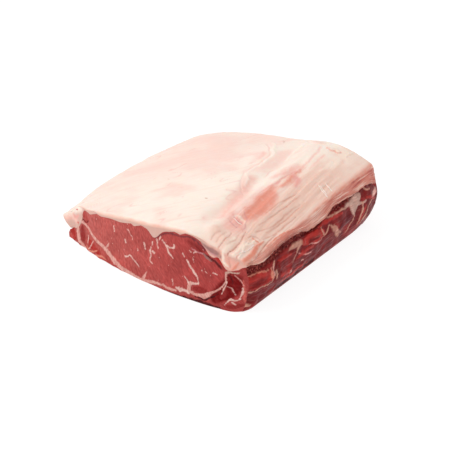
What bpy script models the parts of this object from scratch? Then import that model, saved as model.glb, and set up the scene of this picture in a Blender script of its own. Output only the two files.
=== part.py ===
"""Raw beef sirloin joint, boned and left whole: the lean, and the fat cap that lies over it.

+X runs from the thin flank end to the thick chine side, +Y from the near cut face to the far one.
Both solids are cubes cut into cells, which are bent between the same section curves, so that
they share the seam where fat meets lean.
"""

import math

import bmesh
import bpy
from mathutils import Vector, noise

MM = 0.001

# Section curves, as (x, z) in millimetres, seen from the near cut face. Each runs from under the
# flank tip, round it, and over the top to the chine side. All four have the same eleven ribs.
FAT_TOP_NEAR = (
    (-104, 9), (-110.5, 14), (-113.5, 21), (-109, 28), (-97, 33.5), (-65, 44.5),
    (-9, 57.5), (30, 63.5), (54, 62.5), (76, 57), (99, 49),
)
FAT_TOP_FAR = (
    (-96, 9), (-102, 12), (-105, 17), (-102, 22), (-92, 27), (-61, 36.5),
    (-15, 48.5), (22, 59), (50, 66), (78, 66.5), (102, 60.5),
)
SEAM_NEAR = (
    (-98, 10), (-92, 15), (-88.5, 23), (-87.5, 29.5), (-83, 34), (-62, 40),
    (-9, 52), (30, 59.5), (50, 59.5), (72, 49.5), (99, 46),
)
SEAM_FAR = (
    (-91, 10), (-85, 13), (-81, 17), (-79, 20.5), (-74, 23), (-55, 28.5),
    (-14, 39), (24, 48), (53, 54), (76, 50), (101, 46),
)
COLUMNS_PER_RIB = (2, 2, 2, 2, 4, 6, 4, 4, 5, 9)
LAST_RIB = len(COLUMNS_PER_RIB)
TAIL_RIBS = 3                 # ribs that go round the flank tip
ROWS = 25                     # from the near face to the far one
ROW_CROWDING = 0.5            # 0 spaces the rows evenly, 1 crowds them at both faces
FAT_LAYERS = 4
LEAN_LAYERS = 7

# The two cut faces, in millimetres
NEAR_Y = -105.0               # near face at its corners
NEAR_BULGE = 14.5             # how far its middle stands out
NEAR_BULGE_X = 2.0
NEAR_LEAN_BACK = 0.15         # it leans back by this for each millimetre of height
FAR_Y = 103.0
FAR_UNDERCUT = 22.0           # the far face curls under by this at its foot
FAR_UNDERCUT_HEIGHT = 36.0
FAR_TOP_SET_IN = 6.0
FAR_TOP_Z = (36.0, 60.0)      # heights between which its top sets in
HALF_WIDTH = 100.0
LENGTH = FAR_Y - NEAR_Y
CUT_FACE_RIPPLE = 0.9

# The far corners, seen from above, in millimetres
FAR_CORNER_RADIUS = 26.0
FLANK_SET_IN = 14.0           # the corner is drawn in by this at the flank
FLANK_SET_IN_X = (-112.0, -40.0)
CHINE_SET_IN = 2.0
CHINE_SET_IN_X = (70.0, 105.0)

# The flank tip and the edges, in millimetres
FLANK_BELLY = 4.0             # the flank swells up and out by this at the middle of its length
TAIL_SPREAD = 4.0             # the foot of the tip stands out by this
TAIL_BULGE = 3.0
NEAR_EDGE_RADIUS = 3.0
FAR_EDGE_RADIUS = 5.0
FOOT_RADIUS = 2.5
TAIL_COLUMN_WIDTH = 2.5       # roughly, for the rounding of the foot
CHINE_COLUMN_WIDTH = 2.9
SEAM_GAP = 0.4                # air left between the fat and the lean
TAIL_GAP = 0.5                # and the same, sideways, inside the flank tip

# Relief of the fat, in millimetres
DOME_HEIGHT = 2.0             # the middle of the length stands over the line between the faces
VALLEY_X = 37.0
VALLEY_DRIFT = -0.07          # sideways run of the valley for each millimetre along the joint
VALLEY_DEPTH = 4.0
VALLEY_WIDTH = 8.0
VALLEY_START_Y = (-98.0, -62.0)
VALLEY_END_Y = (20.0, 90.0)
RIDGE_PITCH = 9.0
RIDGE_HEIGHT = 1.2
RIDGE_DRIFT = 0.12
RIDGE_START_Y = (-84.0, -60.0)
RIDGE_END_Y = (30.0, 75.0)
RIDGE_END_X = (90.0, 98.0)
LUMP_HEIGHT = 1.1
LUMP_SIZE = 30.0
# Swellings and hollows of the top: x, y, height, half width, half length
SWELLINGS = (
    (8, 52, 2.6, 17, 26), (52, 74, 2.5, 18, 20), (62, -30, -1.6, 10, 16), (66, -66, -1.8, 9, 14),
    (56, -88, 3.0, 8, 7), (72, -94, 3.6, 7, 7), (88, -84, 2.2, 8, 10), (92, -100, 2.6, 8, 7),
    (97, -18, -4.0, 16, 34),
)
# Places where the fat reaches down into the lean at the near face: x, half width, depth
FAT_DIPS = ((7, 6, 7.5), (66, 5, 3.0), (84, 8, 8.0))
DIP_REACH = 30.0              # how far behind the near face they fade out
# Sags of the fat's lower edge along the chine side: y, half length, depth
RIM_SAGS = ((-86, 7, 2.0), (-46, 17, -3.0), (-12, 9, 3.0), (27, 10, -4.0), (96, 10, 9.0))
RIM_OVERHANG = 5.0            # the fat's rim stands out over the lean by this
RIM_DROOP = 2.5               # and hangs lower than it would by this
RIM_UP = 0.25                 # share of the fat's thickness at which it stands out most

# Relief of the lean's chine side, in millimetres
CHINE_BULGE = 4.5
CHINE_SPREAD = 3.0            # the foot stands out over the seam by this
CHINE_BLOCK_DEPTH = 2.6
CHINE_BLOCK_LENGTH = 30.0
CHINE_BLOCK_HEIGHT = 22.0

FAT_COLOUR = (0.88, 0.70, 0.60, 1.0)
LEAN_COLOUR = (0.36, 0.055, 0.05, 1.0)


def mix(a, b, share):
    return a + (b - a) * share


def bell(value, centre, width):
    return math.exp(-(((value - centre) / width) ** 2))


def ramp(value, start, end):
    """0 before start, 1 after end, and smooth in between."""
    share = min(1.0, max(0.0, (value - start) / (end - start)))
    return share * share * (3 - 2 * share)


def cloud(x, y, size, seed):
    """Smooth noise from about -1 to 1, with lumps about size across."""
    return noise.noise(Vector((x / size, y / size, seed)))


def rounding(distance, radius):
    """How far a surface drops where it is this near to a rounded edge."""
    share = min(1.0, max(0.0, 1.0 - distance / radius))
    return radius * (1.0 - math.sqrt(1.0 - share * share))


def curve_point(points, rib):
    """The point at a rib, which may lie between two, on a smooth curve through all of them."""
    last = len(points) - 1
    first = min(int(rib), last - 1)
    share = rib - first
    p0, p1, p2, p3 = (points[min(max(first + k, 0), last)] for k in (-1, 0, 1, 2))

    def blend(a, b, c, d):
        return 0.5 * (
            2 * b
            + (c - a) * share
            + (2 * a - 5 * b + 4 * c - d) * share**2
            + (3 * b - 3 * c + d - a) * share**3
        )

    return tuple(blend(*axis) for axis in zip(p0, p1, p2, p3))


def between_faces(near, far, rib, along):
    """A point between the two section curves, drawn in at the joint's rounded far corners."""
    a, b = curve_point(near, rib), curve_point(far, rib)
    x, z = mix(a[0], b[0], along), mix(a[1], b[1], along)
    corner = max(0.0, 1 - (1 - along) * LENGTH / FAR_CORNER_RADIUS) ** 2
    set_in = FLANK_SET_IN * (1 - ramp(x, *FLANK_SET_IN_X)) - CHINE_SET_IN * ramp(x, *CHINE_SET_IN_X)
    belly = FLANK_BELLY * math.sin(math.pi * along) * (1 - ramp(rib, TAIL_RIBS - 1, TAIL_RIBS + 3))
    return x + set_in * corner - belly, z + belly * ramp(rib, 0, TAIL_RIBS)


def near_face_y(x, z):
    across = (x - NEAR_BULGE_X) / HALF_WIDTH
    bulge = NEAR_BULGE * max(0.0, 1.0 - across * across)
    ripple = CUT_FACE_RIPPLE * cloud(x, z, 24.0, 3.1)
    return NEAR_Y - bulge + NEAR_LEAN_BACK * z + ripple


def far_face_y(x, z):
    under = FAR_UNDERCUT * max(0.0, 1.0 - z / FAR_UNDERCUT_HEIGHT) ** 2
    ripple = 2 * CUT_FACE_RIPPLE * cloud(x, z, 40.0, 8.7)
    return FAR_Y - under - FAR_TOP_SET_IN * ramp(z, *FAR_TOP_Z) + ripple


def along_y(x, z, along):
    return mix(near_face_y(x, z), far_face_y(x, z), along)


def fat_relief(x, y):
    """Height of the fat's own shapes over its smooth top, in millimetres."""
    valley_x = VALLEY_X + VALLEY_DRIFT * y
    valley_reach = ramp(y, *VALLEY_START_Y) * (1 - ramp(y, *VALLEY_END_Y))
    height = -VALLEY_DEPTH * bell(x, valley_x, VALLEY_WIDTH) * valley_reach
    ridge_reach = ramp(x, valley_x + VALLEY_WIDTH / 2, valley_x + 2 * VALLEY_WIDTH)
    ridge_reach *= 1 - ramp(x, *RIDGE_END_X)
    ridge_reach *= ramp(y, *RIDGE_START_Y) * (1 - ramp(y, *RIDGE_END_Y))
    ridges = math.cos(2 * math.pi * (x + RIDGE_DRIFT * y) / RIDGE_PITCH)
    height += RIDGE_HEIGHT * ridges * ridge_reach
    for at_x, at_y, tall, half_width, half_length in SWELLINGS:
        height += tall * bell(x, at_x, half_width) * bell(y, at_y, half_length)
    return height + LUMP_HEIGHT * cloud(x, y, LUMP_SIZE, 1.7)


def fat_top(rib, along):
    x, z = between_faces(FAT_TOP_NEAR, FAT_TOP_FAR, rib, along)
    height = DOME_HEIGHT * math.sin(math.pi * along) + fat_relief(x, along_y(x, z, along))
    height -= rounding(along * LENGTH, NEAR_EDGE_RADIUS)
    height -= rounding((1 - along) * LENGTH, FAR_EDGE_RADIUS)
    return x, z + height * ramp(rib, TAIL_RIBS, TAIL_RIBS + 1.5)


def seam(rib, along):
    """The surface where fat meets lean."""
    x, z = between_faces(SEAM_NEAR, SEAM_FAR, rib, along)
    y = along_y(x, z, along)
    reach = 1 - ramp(y - NEAR_Y, 0, DIP_REACH)
    for at, half_width, depth in FAT_DIPS:
        z -= reach * depth * bell(x, at, half_width)
    edge = ramp(rib, LAST_RIB - 1, LAST_RIB)
    for at, half_length, depth in RIM_SAGS:
        z -= edge * depth * bell(y, at, half_length)
    return x, z


def foot(rib, along):
    """The flat underside, with its rounded edges."""
    x, _ = seam(rib, along)
    x += CHINE_SPREAD * chine_edge(rib) - TAIL_SPREAD * (1 - ramp(rib, 0, TAIL_RIBS))
    from_tail = (1 + rib * COLUMNS_PER_RIB[0]) * TAIL_COLUMN_WIDTH / 2
    from_chine = (LAST_RIB - rib) * COLUMNS_PER_RIB[-1] * CHINE_COLUMN_WIDTH
    from_near = 1 + along * LENGTH
    return x, rounding(min(from_tail, from_chine, from_near), FOOT_RADIUS)


def chine_edge(rib):
    """1 on the chine side, and 0 half a rib in from it."""
    return ramp(rib, LAST_RIB - 0.5, LAST_RIB)


def fat_point(rib, along, up):
    x0, z0 = seam(rib, along)
    x1, z1 = fat_top(rib, along)
    x, z = mix(x0, x1, up), mix(z0, z1, up)
    y = along_y(x, z, along)
    roll = chine_edge(rib) * min(up / RIM_UP, (1 - up) / (1 - RIM_UP))
    return x + RIM_OVERHANG * roll, y, z - RIM_DROOP * roll


def lean_point(rib, along, up):
    x0, z0 = foot(rib, along)
    x1, z1 = seam(rib, along)
    x1 += TAIL_GAP * (1 - ramp(rib, TAIL_RIBS, TAIL_RIBS + 1.5))
    z1 -= SEAM_GAP
    x, z = mix(x0, x1, up), mix(z0, z1, up)
    y = along_y(x, z, along)
    belly = math.sin(math.pi * up)
    blocks = CHINE_BLOCK_DEPTH * cloud(y / CHINE_BLOCK_LENGTH, z / CHINE_BLOCK_HEIGHT, 1.0, 6.3)
    x += chine_edge(rib) * belly * (CHINE_BULGE + blocks)
    x -= (1 - ramp(rib, 0, 1)) * belly * TAIL_BULGE
    return x, y, z


def crowded(share):
    return mix(share, (1 - math.cos(math.pi * share)) / 2, ROW_CROWDING)


def rib_positions():
    """The rib value of each column of cells, from the flank tip to the chine side."""
    places = [0.0]
    for rib, columns in enumerate(COLUMNS_PER_RIB):
        places += [rib + (k + 1) / columns for k in range(columns)]
    return places


def cube_of_cells(cells):
    """A cube cut into this many cells on each axis, and the cell corner that each vertex is."""
    bm = bmesh.new()
    bmesh.ops.create_cube(bm, size=1.0)
    for axis, count in enumerate(cells):
        edges = [e for e in bm.edges if abs((e.verts[0].co - e.verts[1].co)[axis]) > 1e-6]
        bmesh.ops.subdivide_edges(bm, edges=edges, cuts=count - 1, use_grid_fill=True)
    corners = {
        vertex: tuple(round((value + 0.5) * count) for value, count in zip(vertex.co, cells))
        for vertex in bm.verts
    }
    return bm, corners


def bent_block(name, point_at, layers, material, collection):
    """A solid whose cell corners are bent to the places that point_at gives."""
    places = rib_positions()
    bm, corners = cube_of_cells((len(places) - 1, ROWS, layers))
    # Every cell is cut along the same diagonal, so that both sides of the seam match
    for face in list(bm.faces):
        low, *_, high = sorted(face.verts, key=lambda vertex: sum(corners[vertex]))
        bmesh.utils.face_split(face, low, high)
    for vertex, (column, row, layer) in corners.items():
        point = point_at(places[column], crowded(row / ROWS), layer / layers)
        vertex.co = Vector(point) * MM
    mesh = bpy.data.meshes.new(name)
    bm.to_mesh(mesh)
    bm.free()
    mesh.shade_smooth()
    mesh.materials.append(material)
    obj = bpy.data.objects.new(name, mesh)
    collection.objects.link(obj)
    return obj


def tissue(name, colour, roughness):
    material = bpy.data.materials.new(name)
    material.use_nodes = True
    shader = material.node_tree.nodes["Principled BSDF"]
    shader.inputs["Base Color"].default_value = colour
    shader.inputs["Roughness"].default_value = roughness
    shader.inputs["Metallic"].default_value = 0.0
    return material


def stand_on_origin(objects):
    """Moves the solids so that the foot of their common box is centred on the origin."""
    corners = [vertex.co for obj in objects for vertex in obj.data.vertices]
    low = Vector(min(corner[axis] for corner in corners) for axis in range(3))
    high = Vector(max(corner[axis] for corner in corners) for axis in range(3))
    centre = (low + high) / 2
    for obj in objects:
        for vertex in obj.data.vertices:
            vertex.co -= Vector((centre.x, centre.y, low.z))


def main():
    for obj in list(bpy.data.objects):
        bpy.data.objects.remove(obj)
    collection = bpy.data.collections.new("sirloin_joint")
    bpy.context.scene.collection.children.link(collection)
    joint = bpy.data.objects.new("sirloin_joint", None)
    collection.objects.link(joint)
    lean_tissue = tissue("lean", LEAN_COLOUR, 0.45)
    fat_tissue = tissue("fat_cap", FAT_COLOUR, 0.5)
    lean = bent_block("lean", lean_point, LEAN_LAYERS, lean_tissue, collection)
    fat = bent_block("fat_cap", fat_point, FAT_LAYERS, fat_tissue, collection)
    stand_on_origin((lean, fat))
    for obj in (lean, fat):
        obj.parent = joint


main()
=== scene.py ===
"""Looks of the raw sirloin joint: marbled lean, the fat cap over it and their fine relief.

Two dense pieces stand for the CAD solids. Each is a cube cut into cells, bent between the section
curves that the solids were made from, then carved and painted by strokes laid on its near face,
its chine side and its top. Places are in millimetres in the part's own frame: +X from the flank
end to the chine side, +Y from the near cut face to the far one, +Z up.
"""

import math

import bmesh
import bpy
import numpy as np
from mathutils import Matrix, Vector, noise
from mathutils.bvhtree import BVHTree


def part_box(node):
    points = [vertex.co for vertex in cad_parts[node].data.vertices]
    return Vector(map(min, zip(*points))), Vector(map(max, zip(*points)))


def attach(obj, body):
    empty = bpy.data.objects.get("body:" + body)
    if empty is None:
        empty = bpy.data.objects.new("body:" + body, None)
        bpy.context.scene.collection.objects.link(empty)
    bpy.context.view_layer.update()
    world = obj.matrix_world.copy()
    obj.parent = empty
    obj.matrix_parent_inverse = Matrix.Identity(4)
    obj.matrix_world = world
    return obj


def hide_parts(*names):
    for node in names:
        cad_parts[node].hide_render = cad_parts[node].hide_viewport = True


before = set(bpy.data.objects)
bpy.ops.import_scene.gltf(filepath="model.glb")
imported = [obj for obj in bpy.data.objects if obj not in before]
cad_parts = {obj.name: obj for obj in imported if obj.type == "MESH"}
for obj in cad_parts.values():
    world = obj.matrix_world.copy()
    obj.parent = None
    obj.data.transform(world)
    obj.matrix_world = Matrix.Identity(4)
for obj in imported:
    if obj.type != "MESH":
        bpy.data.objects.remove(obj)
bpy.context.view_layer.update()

MM = 0.001

# Section curves, as (x, z), from under the flank tip, round it, and over to the chine side
FAT_TOP_NEAR = (
    (-104, 9), (-110.5, 14), (-113.5, 21), (-109, 28), (-97, 33.5), (-65, 44.5),
    (-9, 57.5), (30, 63.5), (54, 62.5), (76, 57), (99, 49),
)
FAT_TOP_FAR = (
    (-96, 9), (-102, 12), (-105, 17), (-102, 22), (-92, 27), (-61, 36.5),
    (-15, 48.5), (22, 59), (50, 66), (78, 66.5), (102, 60.5),
)
SEAM_NEAR = (
    (-98, 10), (-92, 15), (-88.5, 23), (-87.5, 29.5), (-83, 34), (-62, 40),
    (-9, 52), (30, 59.5), (50, 59.5), (72, 49.5), (99, 46),
)
SEAM_FAR = (
    (-91, 10), (-85, 13), (-81, 17), (-79, 20.5), (-74, 23), (-55, 28.5),
    (-14, 39), (24, 48), (53, 54), (76, 50), (101, 46),
)
LAST_RIB = len(SEAM_NEAR) - 1
TAIL_RIBS = 3                 # ribs that go round the flank tip

# Cells of the two dense pieces: columns between one rib and the next, rows and layers, and how
# many times finer the sides are cut, by the way that each side faces
FAT_COLUMNS = (2, 2, 2, 4, 9, 16, 12, 11, 12, 14)
FAT_ROWS = 70
FAT_LAYERS = 10
FAT_FINER = {(0, 0, 1): 3, (0, -1, 0): 3, (1, 0, 0): 3, (0, 1, 0): 3}
LEAN_COLUMNS = (2, 3, 2, 2, 8, 21, 15, 9, 10, 12)
LEAN_ROWS = 76
LEAN_LAYERS = 19
LEAN_FINER = {(0, -1, 0): 4, (1, 0, 0): 4, (0, 1, 0): 2, (-1, 0, 0): 2}
ROW_CROWDING = 0.25           # 0 spaces the rows evenly, 1 crowds them at both faces
ON_SIDE = 1e-4                # a share of the cube within which a vertex is on its side

# The two cut faces and the far corners
NEAR_Y = -105.0
NEAR_BULGE = 14.5
NEAR_BULGE_X = 2.0
NEAR_LEAN_BACK = 0.15
FAR_Y = 103.0
FAR_UNDERCUT = 22.0
FAR_UNDERCUT_HEIGHT = 36.0
FAR_TOP_SET_IN = 6.0
FAR_TOP_Z = (36.0, 60.0)
HALF_WIDTH = 100.0
LENGTH = FAR_Y - NEAR_Y
CUT_FACE_RIPPLE = 0.9
FAR_CORNER_RADIUS = 26.0
FLANK_SET_IN = 14.0
FLANK_SET_IN_X = (-112.0, -40.0)
CHINE_SET_IN = 2.0
CHINE_SET_IN_X = (70.0, 105.0)

# The flank tip and the edges
FLANK_BELLY = 4.0
TAIL_SPREAD = 4.0
TAIL_BULGE = 3.0
NEAR_EDGE_RADIUS = 3.0
RIM_EDGE_RADIUS = (1.4, 3.4)  # at the near end and at the far end
RIM_EDGE_Y = (-20.0, 90.0)    # where it starts to grow, and where it is full
FAR_EDGE_RADIUS = 5.0
FOOT_RADIUS = 2.5
LOBE_HEIGHT = 2.8             # how far the tail's lobes stand out of the near cut face
CORNER_CUT = 4.4              # how far the near corner under the rim is drawn in
CORNER_CUT_ABOVE = 0.35       # the share of it that is left where the lean meets the fat
CORNER_REACH = 15.0
CORNER_END = 0.15             # how far along the joint the corner ends, as a share
LEAST_FAT = (-12.0, 0.8)      # least thickness of the fat: not held round the tip, 0.8 past it
TAIL_RIB_WIDTH = 5.0          # about how wide one rib is at the flank end
CHINE_RIB_WIDTH = 26.0        # and at the chine side
SEAM_GAP = 0.05
TAIL_GAP = 0.1

# Large relief of the fat and of the chine side, as in the solids
DOME_HEIGHT = 2.0
VALLEY_X = 37.0
VALLEY_DRIFT = -0.07
VALLEY_DEPTH = 4.0
VALLEY_WIDTH = 8.0
VALLEY_START_Y = (-98.0, -62.0)
VALLEY_END_Y = (20.0, 90.0)
RIDGE_PITCH = 9.0
RIDGE_HEIGHT = 0.35           # lower than in the solids: the fine cords below carry the rest
RIDGE_DRIFT = 0.12
RIDGE_START_Y = (-84.0, -60.0)
RIDGE_END_Y = (30.0, 75.0)
RIDGE_END_X = (90.0, 98.0)
LUMP_HEIGHT = 1.1
LUMP_SIZE = 30.0
SWELLINGS = (
    (8, 52, 2.6, 17, 26), (52, 74, 2.5, 18, 20), (62, -30, -1.6, 10, 16), (66, -66, -1.8, 9, 14),
    (56, -88, 3.0, 8, 7), (72, -94, 3.6, 7, 7), (88, -84, 2.2, 8, 10), (92, -100, 2.6, 8, 7),
    (97, -18, -4.0, 16, 34),
)
FAT_DIPS = ((7, 6, 7.5), (66, 5, 3.0), (84, 8, 8.0))
DIP_REACH = 30.0
RIM_SAGS = ((-86, 7, 2.0), (-46, 17, -3.0), (-12, 9, 3.0), (27, 10, -4.0), (96, 10, 9.0))
RIM_OVERHANG = 5.0
RIM_DROOP = 2.5
RIM_UP = 0.25                 # how far up the rim stands out most, as a share
RIM_FAR_END = (0.965, 1.0)    # where along the joint it dies away at the far face
RIM_NEAR_END = (0.0, 0.1)     # and where it starts at the near face
RIM_NEAR_SHARE = 0.2          # the share of it that is there from the start
RIM_RAG = 1.1                 # unevenness of the fat's lower edge on the chine side
CHINE_BULGE = 4.5
CHINE_SPREAD = 3.0
CHINE_BLOCK_DEPTH = 2.6
CHINE_BLOCK_LENGTH = 30.0
CHINE_BLOCK_HEIGHT = 22.0

# How far the edge of the fat at the near face stands over its smooth curve: x, millimetres
SEAM_TRIM = (
    (-95, 0.0), (-90, 3.0), (-84, 1.5), (-76, -1.4), (-67, 1.3), (-61, -0.2), (-47, 0.4),
    (-34, -0.4), (-21, 0.7), (-17, -1.3), (-9, 1.0), (-2, -0.4), (3, -1.1), (8, -1.1), (11, -1.3),
    (22, -0.3), (28, 0.7), (34, -0.8), (39, 1.5), (48, 2.1), (56, 1.8), (58, 0.1), (62, -0.5),
    (69, -0.2), (73, 1.4), (79, 0.0), (87, -0.3), (93, -2.2), (97, 0.2), (101, 3.6),
)

# How far the fat's lower edge on the chine side stands over the solid's: y, millimetres
RIM_TRIM = (
    (-104, 3.0), (-96, 2.4), (-86, 2.0), (-72, 2.8), (-57, 3.4), (-45, 3.2), (-36, 3.4), (-27, 3.2),
    (-16, 1.2), (-5, -0.6), (2, -3.0), (11, -2.6), (17, 0.2), (24, 1.8), (38, 3.0), (48, 3.0),
    (58, 1.6), (70, 1.6), (90, 2.0), (104, -1.0),
)

# The near flank tip is lower than the solid's
TIP_DROP = 5.2
TIP_RIB = 3.2                 # the rib that is lowered most
TIP_SPREAD = 1.5              # how many ribs go down with it
TIP_REACH = (6.0, 60.0)       # from the near face: all of it before, none of it beyond

# The camera: its angles in degrees, its distance, lens and the point it looks at
CAMERA_AZIMUTH = 38.0
CAMERA_ELEVATION = 33.0
CAMERA_DISTANCE = 1470.0
CAMERA_LENS = 125.0
CAMERA_SENSOR = 36.0
CAMERA_TARGET = (10.64, -3.2, 8.7)

# The studio, in metres and watts
ROOM_LIGHT = 0.76
KEY_PLACE = (-0.75, -0.55, 1.15)
KEY_SIZE = 0.9
KEY_POWER = 8.5
FLOOR_REACH = 3.0
FLOOR_GREY = 0.22
FLOOR_GLOW = 0.86

# Moist tissue, in metres: its film, the depth of its bump and how far light goes in
FILM_ROUGHNESS = 0.16
TISSUE_BUMP = 0.0004
GLOW_DEPTH = 0.0025
GLOW_COLOURS = (1.0, 0.45, 0.3)

# Colours of the fat, as they look in plain light
CREAM = (250, 234, 221)
BLUSH = (248, 214, 202)
DEEP_BLUSH = (243, 192, 179)
# Pale shell: a painted highlight where it lies on raised cords, folds, ridges and layers, else the
# fat's own paler tone
SHELL_AND_HIGHLIGHT = (247, 225, 209)
BEIGE = (238, 203, 187)
# Darker pink painted in the grooves between the fat's cords: painted shade
GROOVE_SHADE = (220, 164, 145)
SALMON = (231, 152, 132)
CORAL = (235, 156, 136)
ROSE = (234, 166, 156)
MAUVE = (206, 138, 142)
CUT_FAT = (214, 172, 158)
CUT_EDGE = (234, 184, 165)
CORNER_PINK = (238, 176, 160)
RIM_PINK = (214, 132, 115)
RIM_RED = (178, 84, 74)
RIM_TAN = (200, 142, 124)
ORANGE_PINK = (226, 142, 120)
# Darker pink painted in the creases of the fat's folds: painted shade
CREASE_SHADE = (217, 158, 142)
BLOOD = (206, 24, 30)
SILVER = (162, 114, 109)
SPECK = (208, 150, 122)

# Colours of the lean and of the tissue in it
EYE_LEFT = (192, 94, 87)
EYE_RIGHT = (180, 72, 69)
TAIL_RED = (184, 74, 67)
SMALL_MUSCLE = (124, 8, 10)
DEEP_RED = (124, 22, 22)
BRIGHT_RED = (180, 50, 44)
MAROON = (120, 20, 23)
DARK_MAROON = (80, 22, 25)
# Dark red of the cleft and grooves: partly the tissue's own colour, partly painted shade in the
# recess
CREVICE_RED_AND_SHADE = (118, 38, 35)
# A thin dark line of painted shade along the lean's edge under the fat
SEAM_SHADE_LINE = (128, 60, 64)
SEAM_PINK = (228, 172, 160)
MARBLE = (238, 198, 186)
TAN = (204, 146, 126)
PALE_GREY = (208, 168, 153)
PURPLE = (108, 24, 32)
# Painted highlight down the rounded vertical corner edge of the lean
CORNER_HIGHLIGHT_RED = (212, 104, 94)
OVAL_RED = (152, 46, 44)
RIM_SHADE_BROWN = (170, 96, 84)

# The crumbly cleft under the fat's rim on the chine side, dark partly with painted shade: y, z,
# half width
CREVICE_LINE = (
    (-101, 40, 1.6), (-92, 41.6, 3.6), (-76, 43, 5.4), (-62, 45, 6.8), (-46, 46.6, 7.2),
    (-34, 47, 6.8), (-20, 45.4, 4.8), (-8, 41.4, 2.8), (4, 38.6, 1.9), (14, 41.4, 2.8),
    (22, 46.4, 4.6), (38, 47.4, 5.6), (50, 46.6, 5.0), (60, 43, 2.6), (68, 44, 1.4),
)

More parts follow.
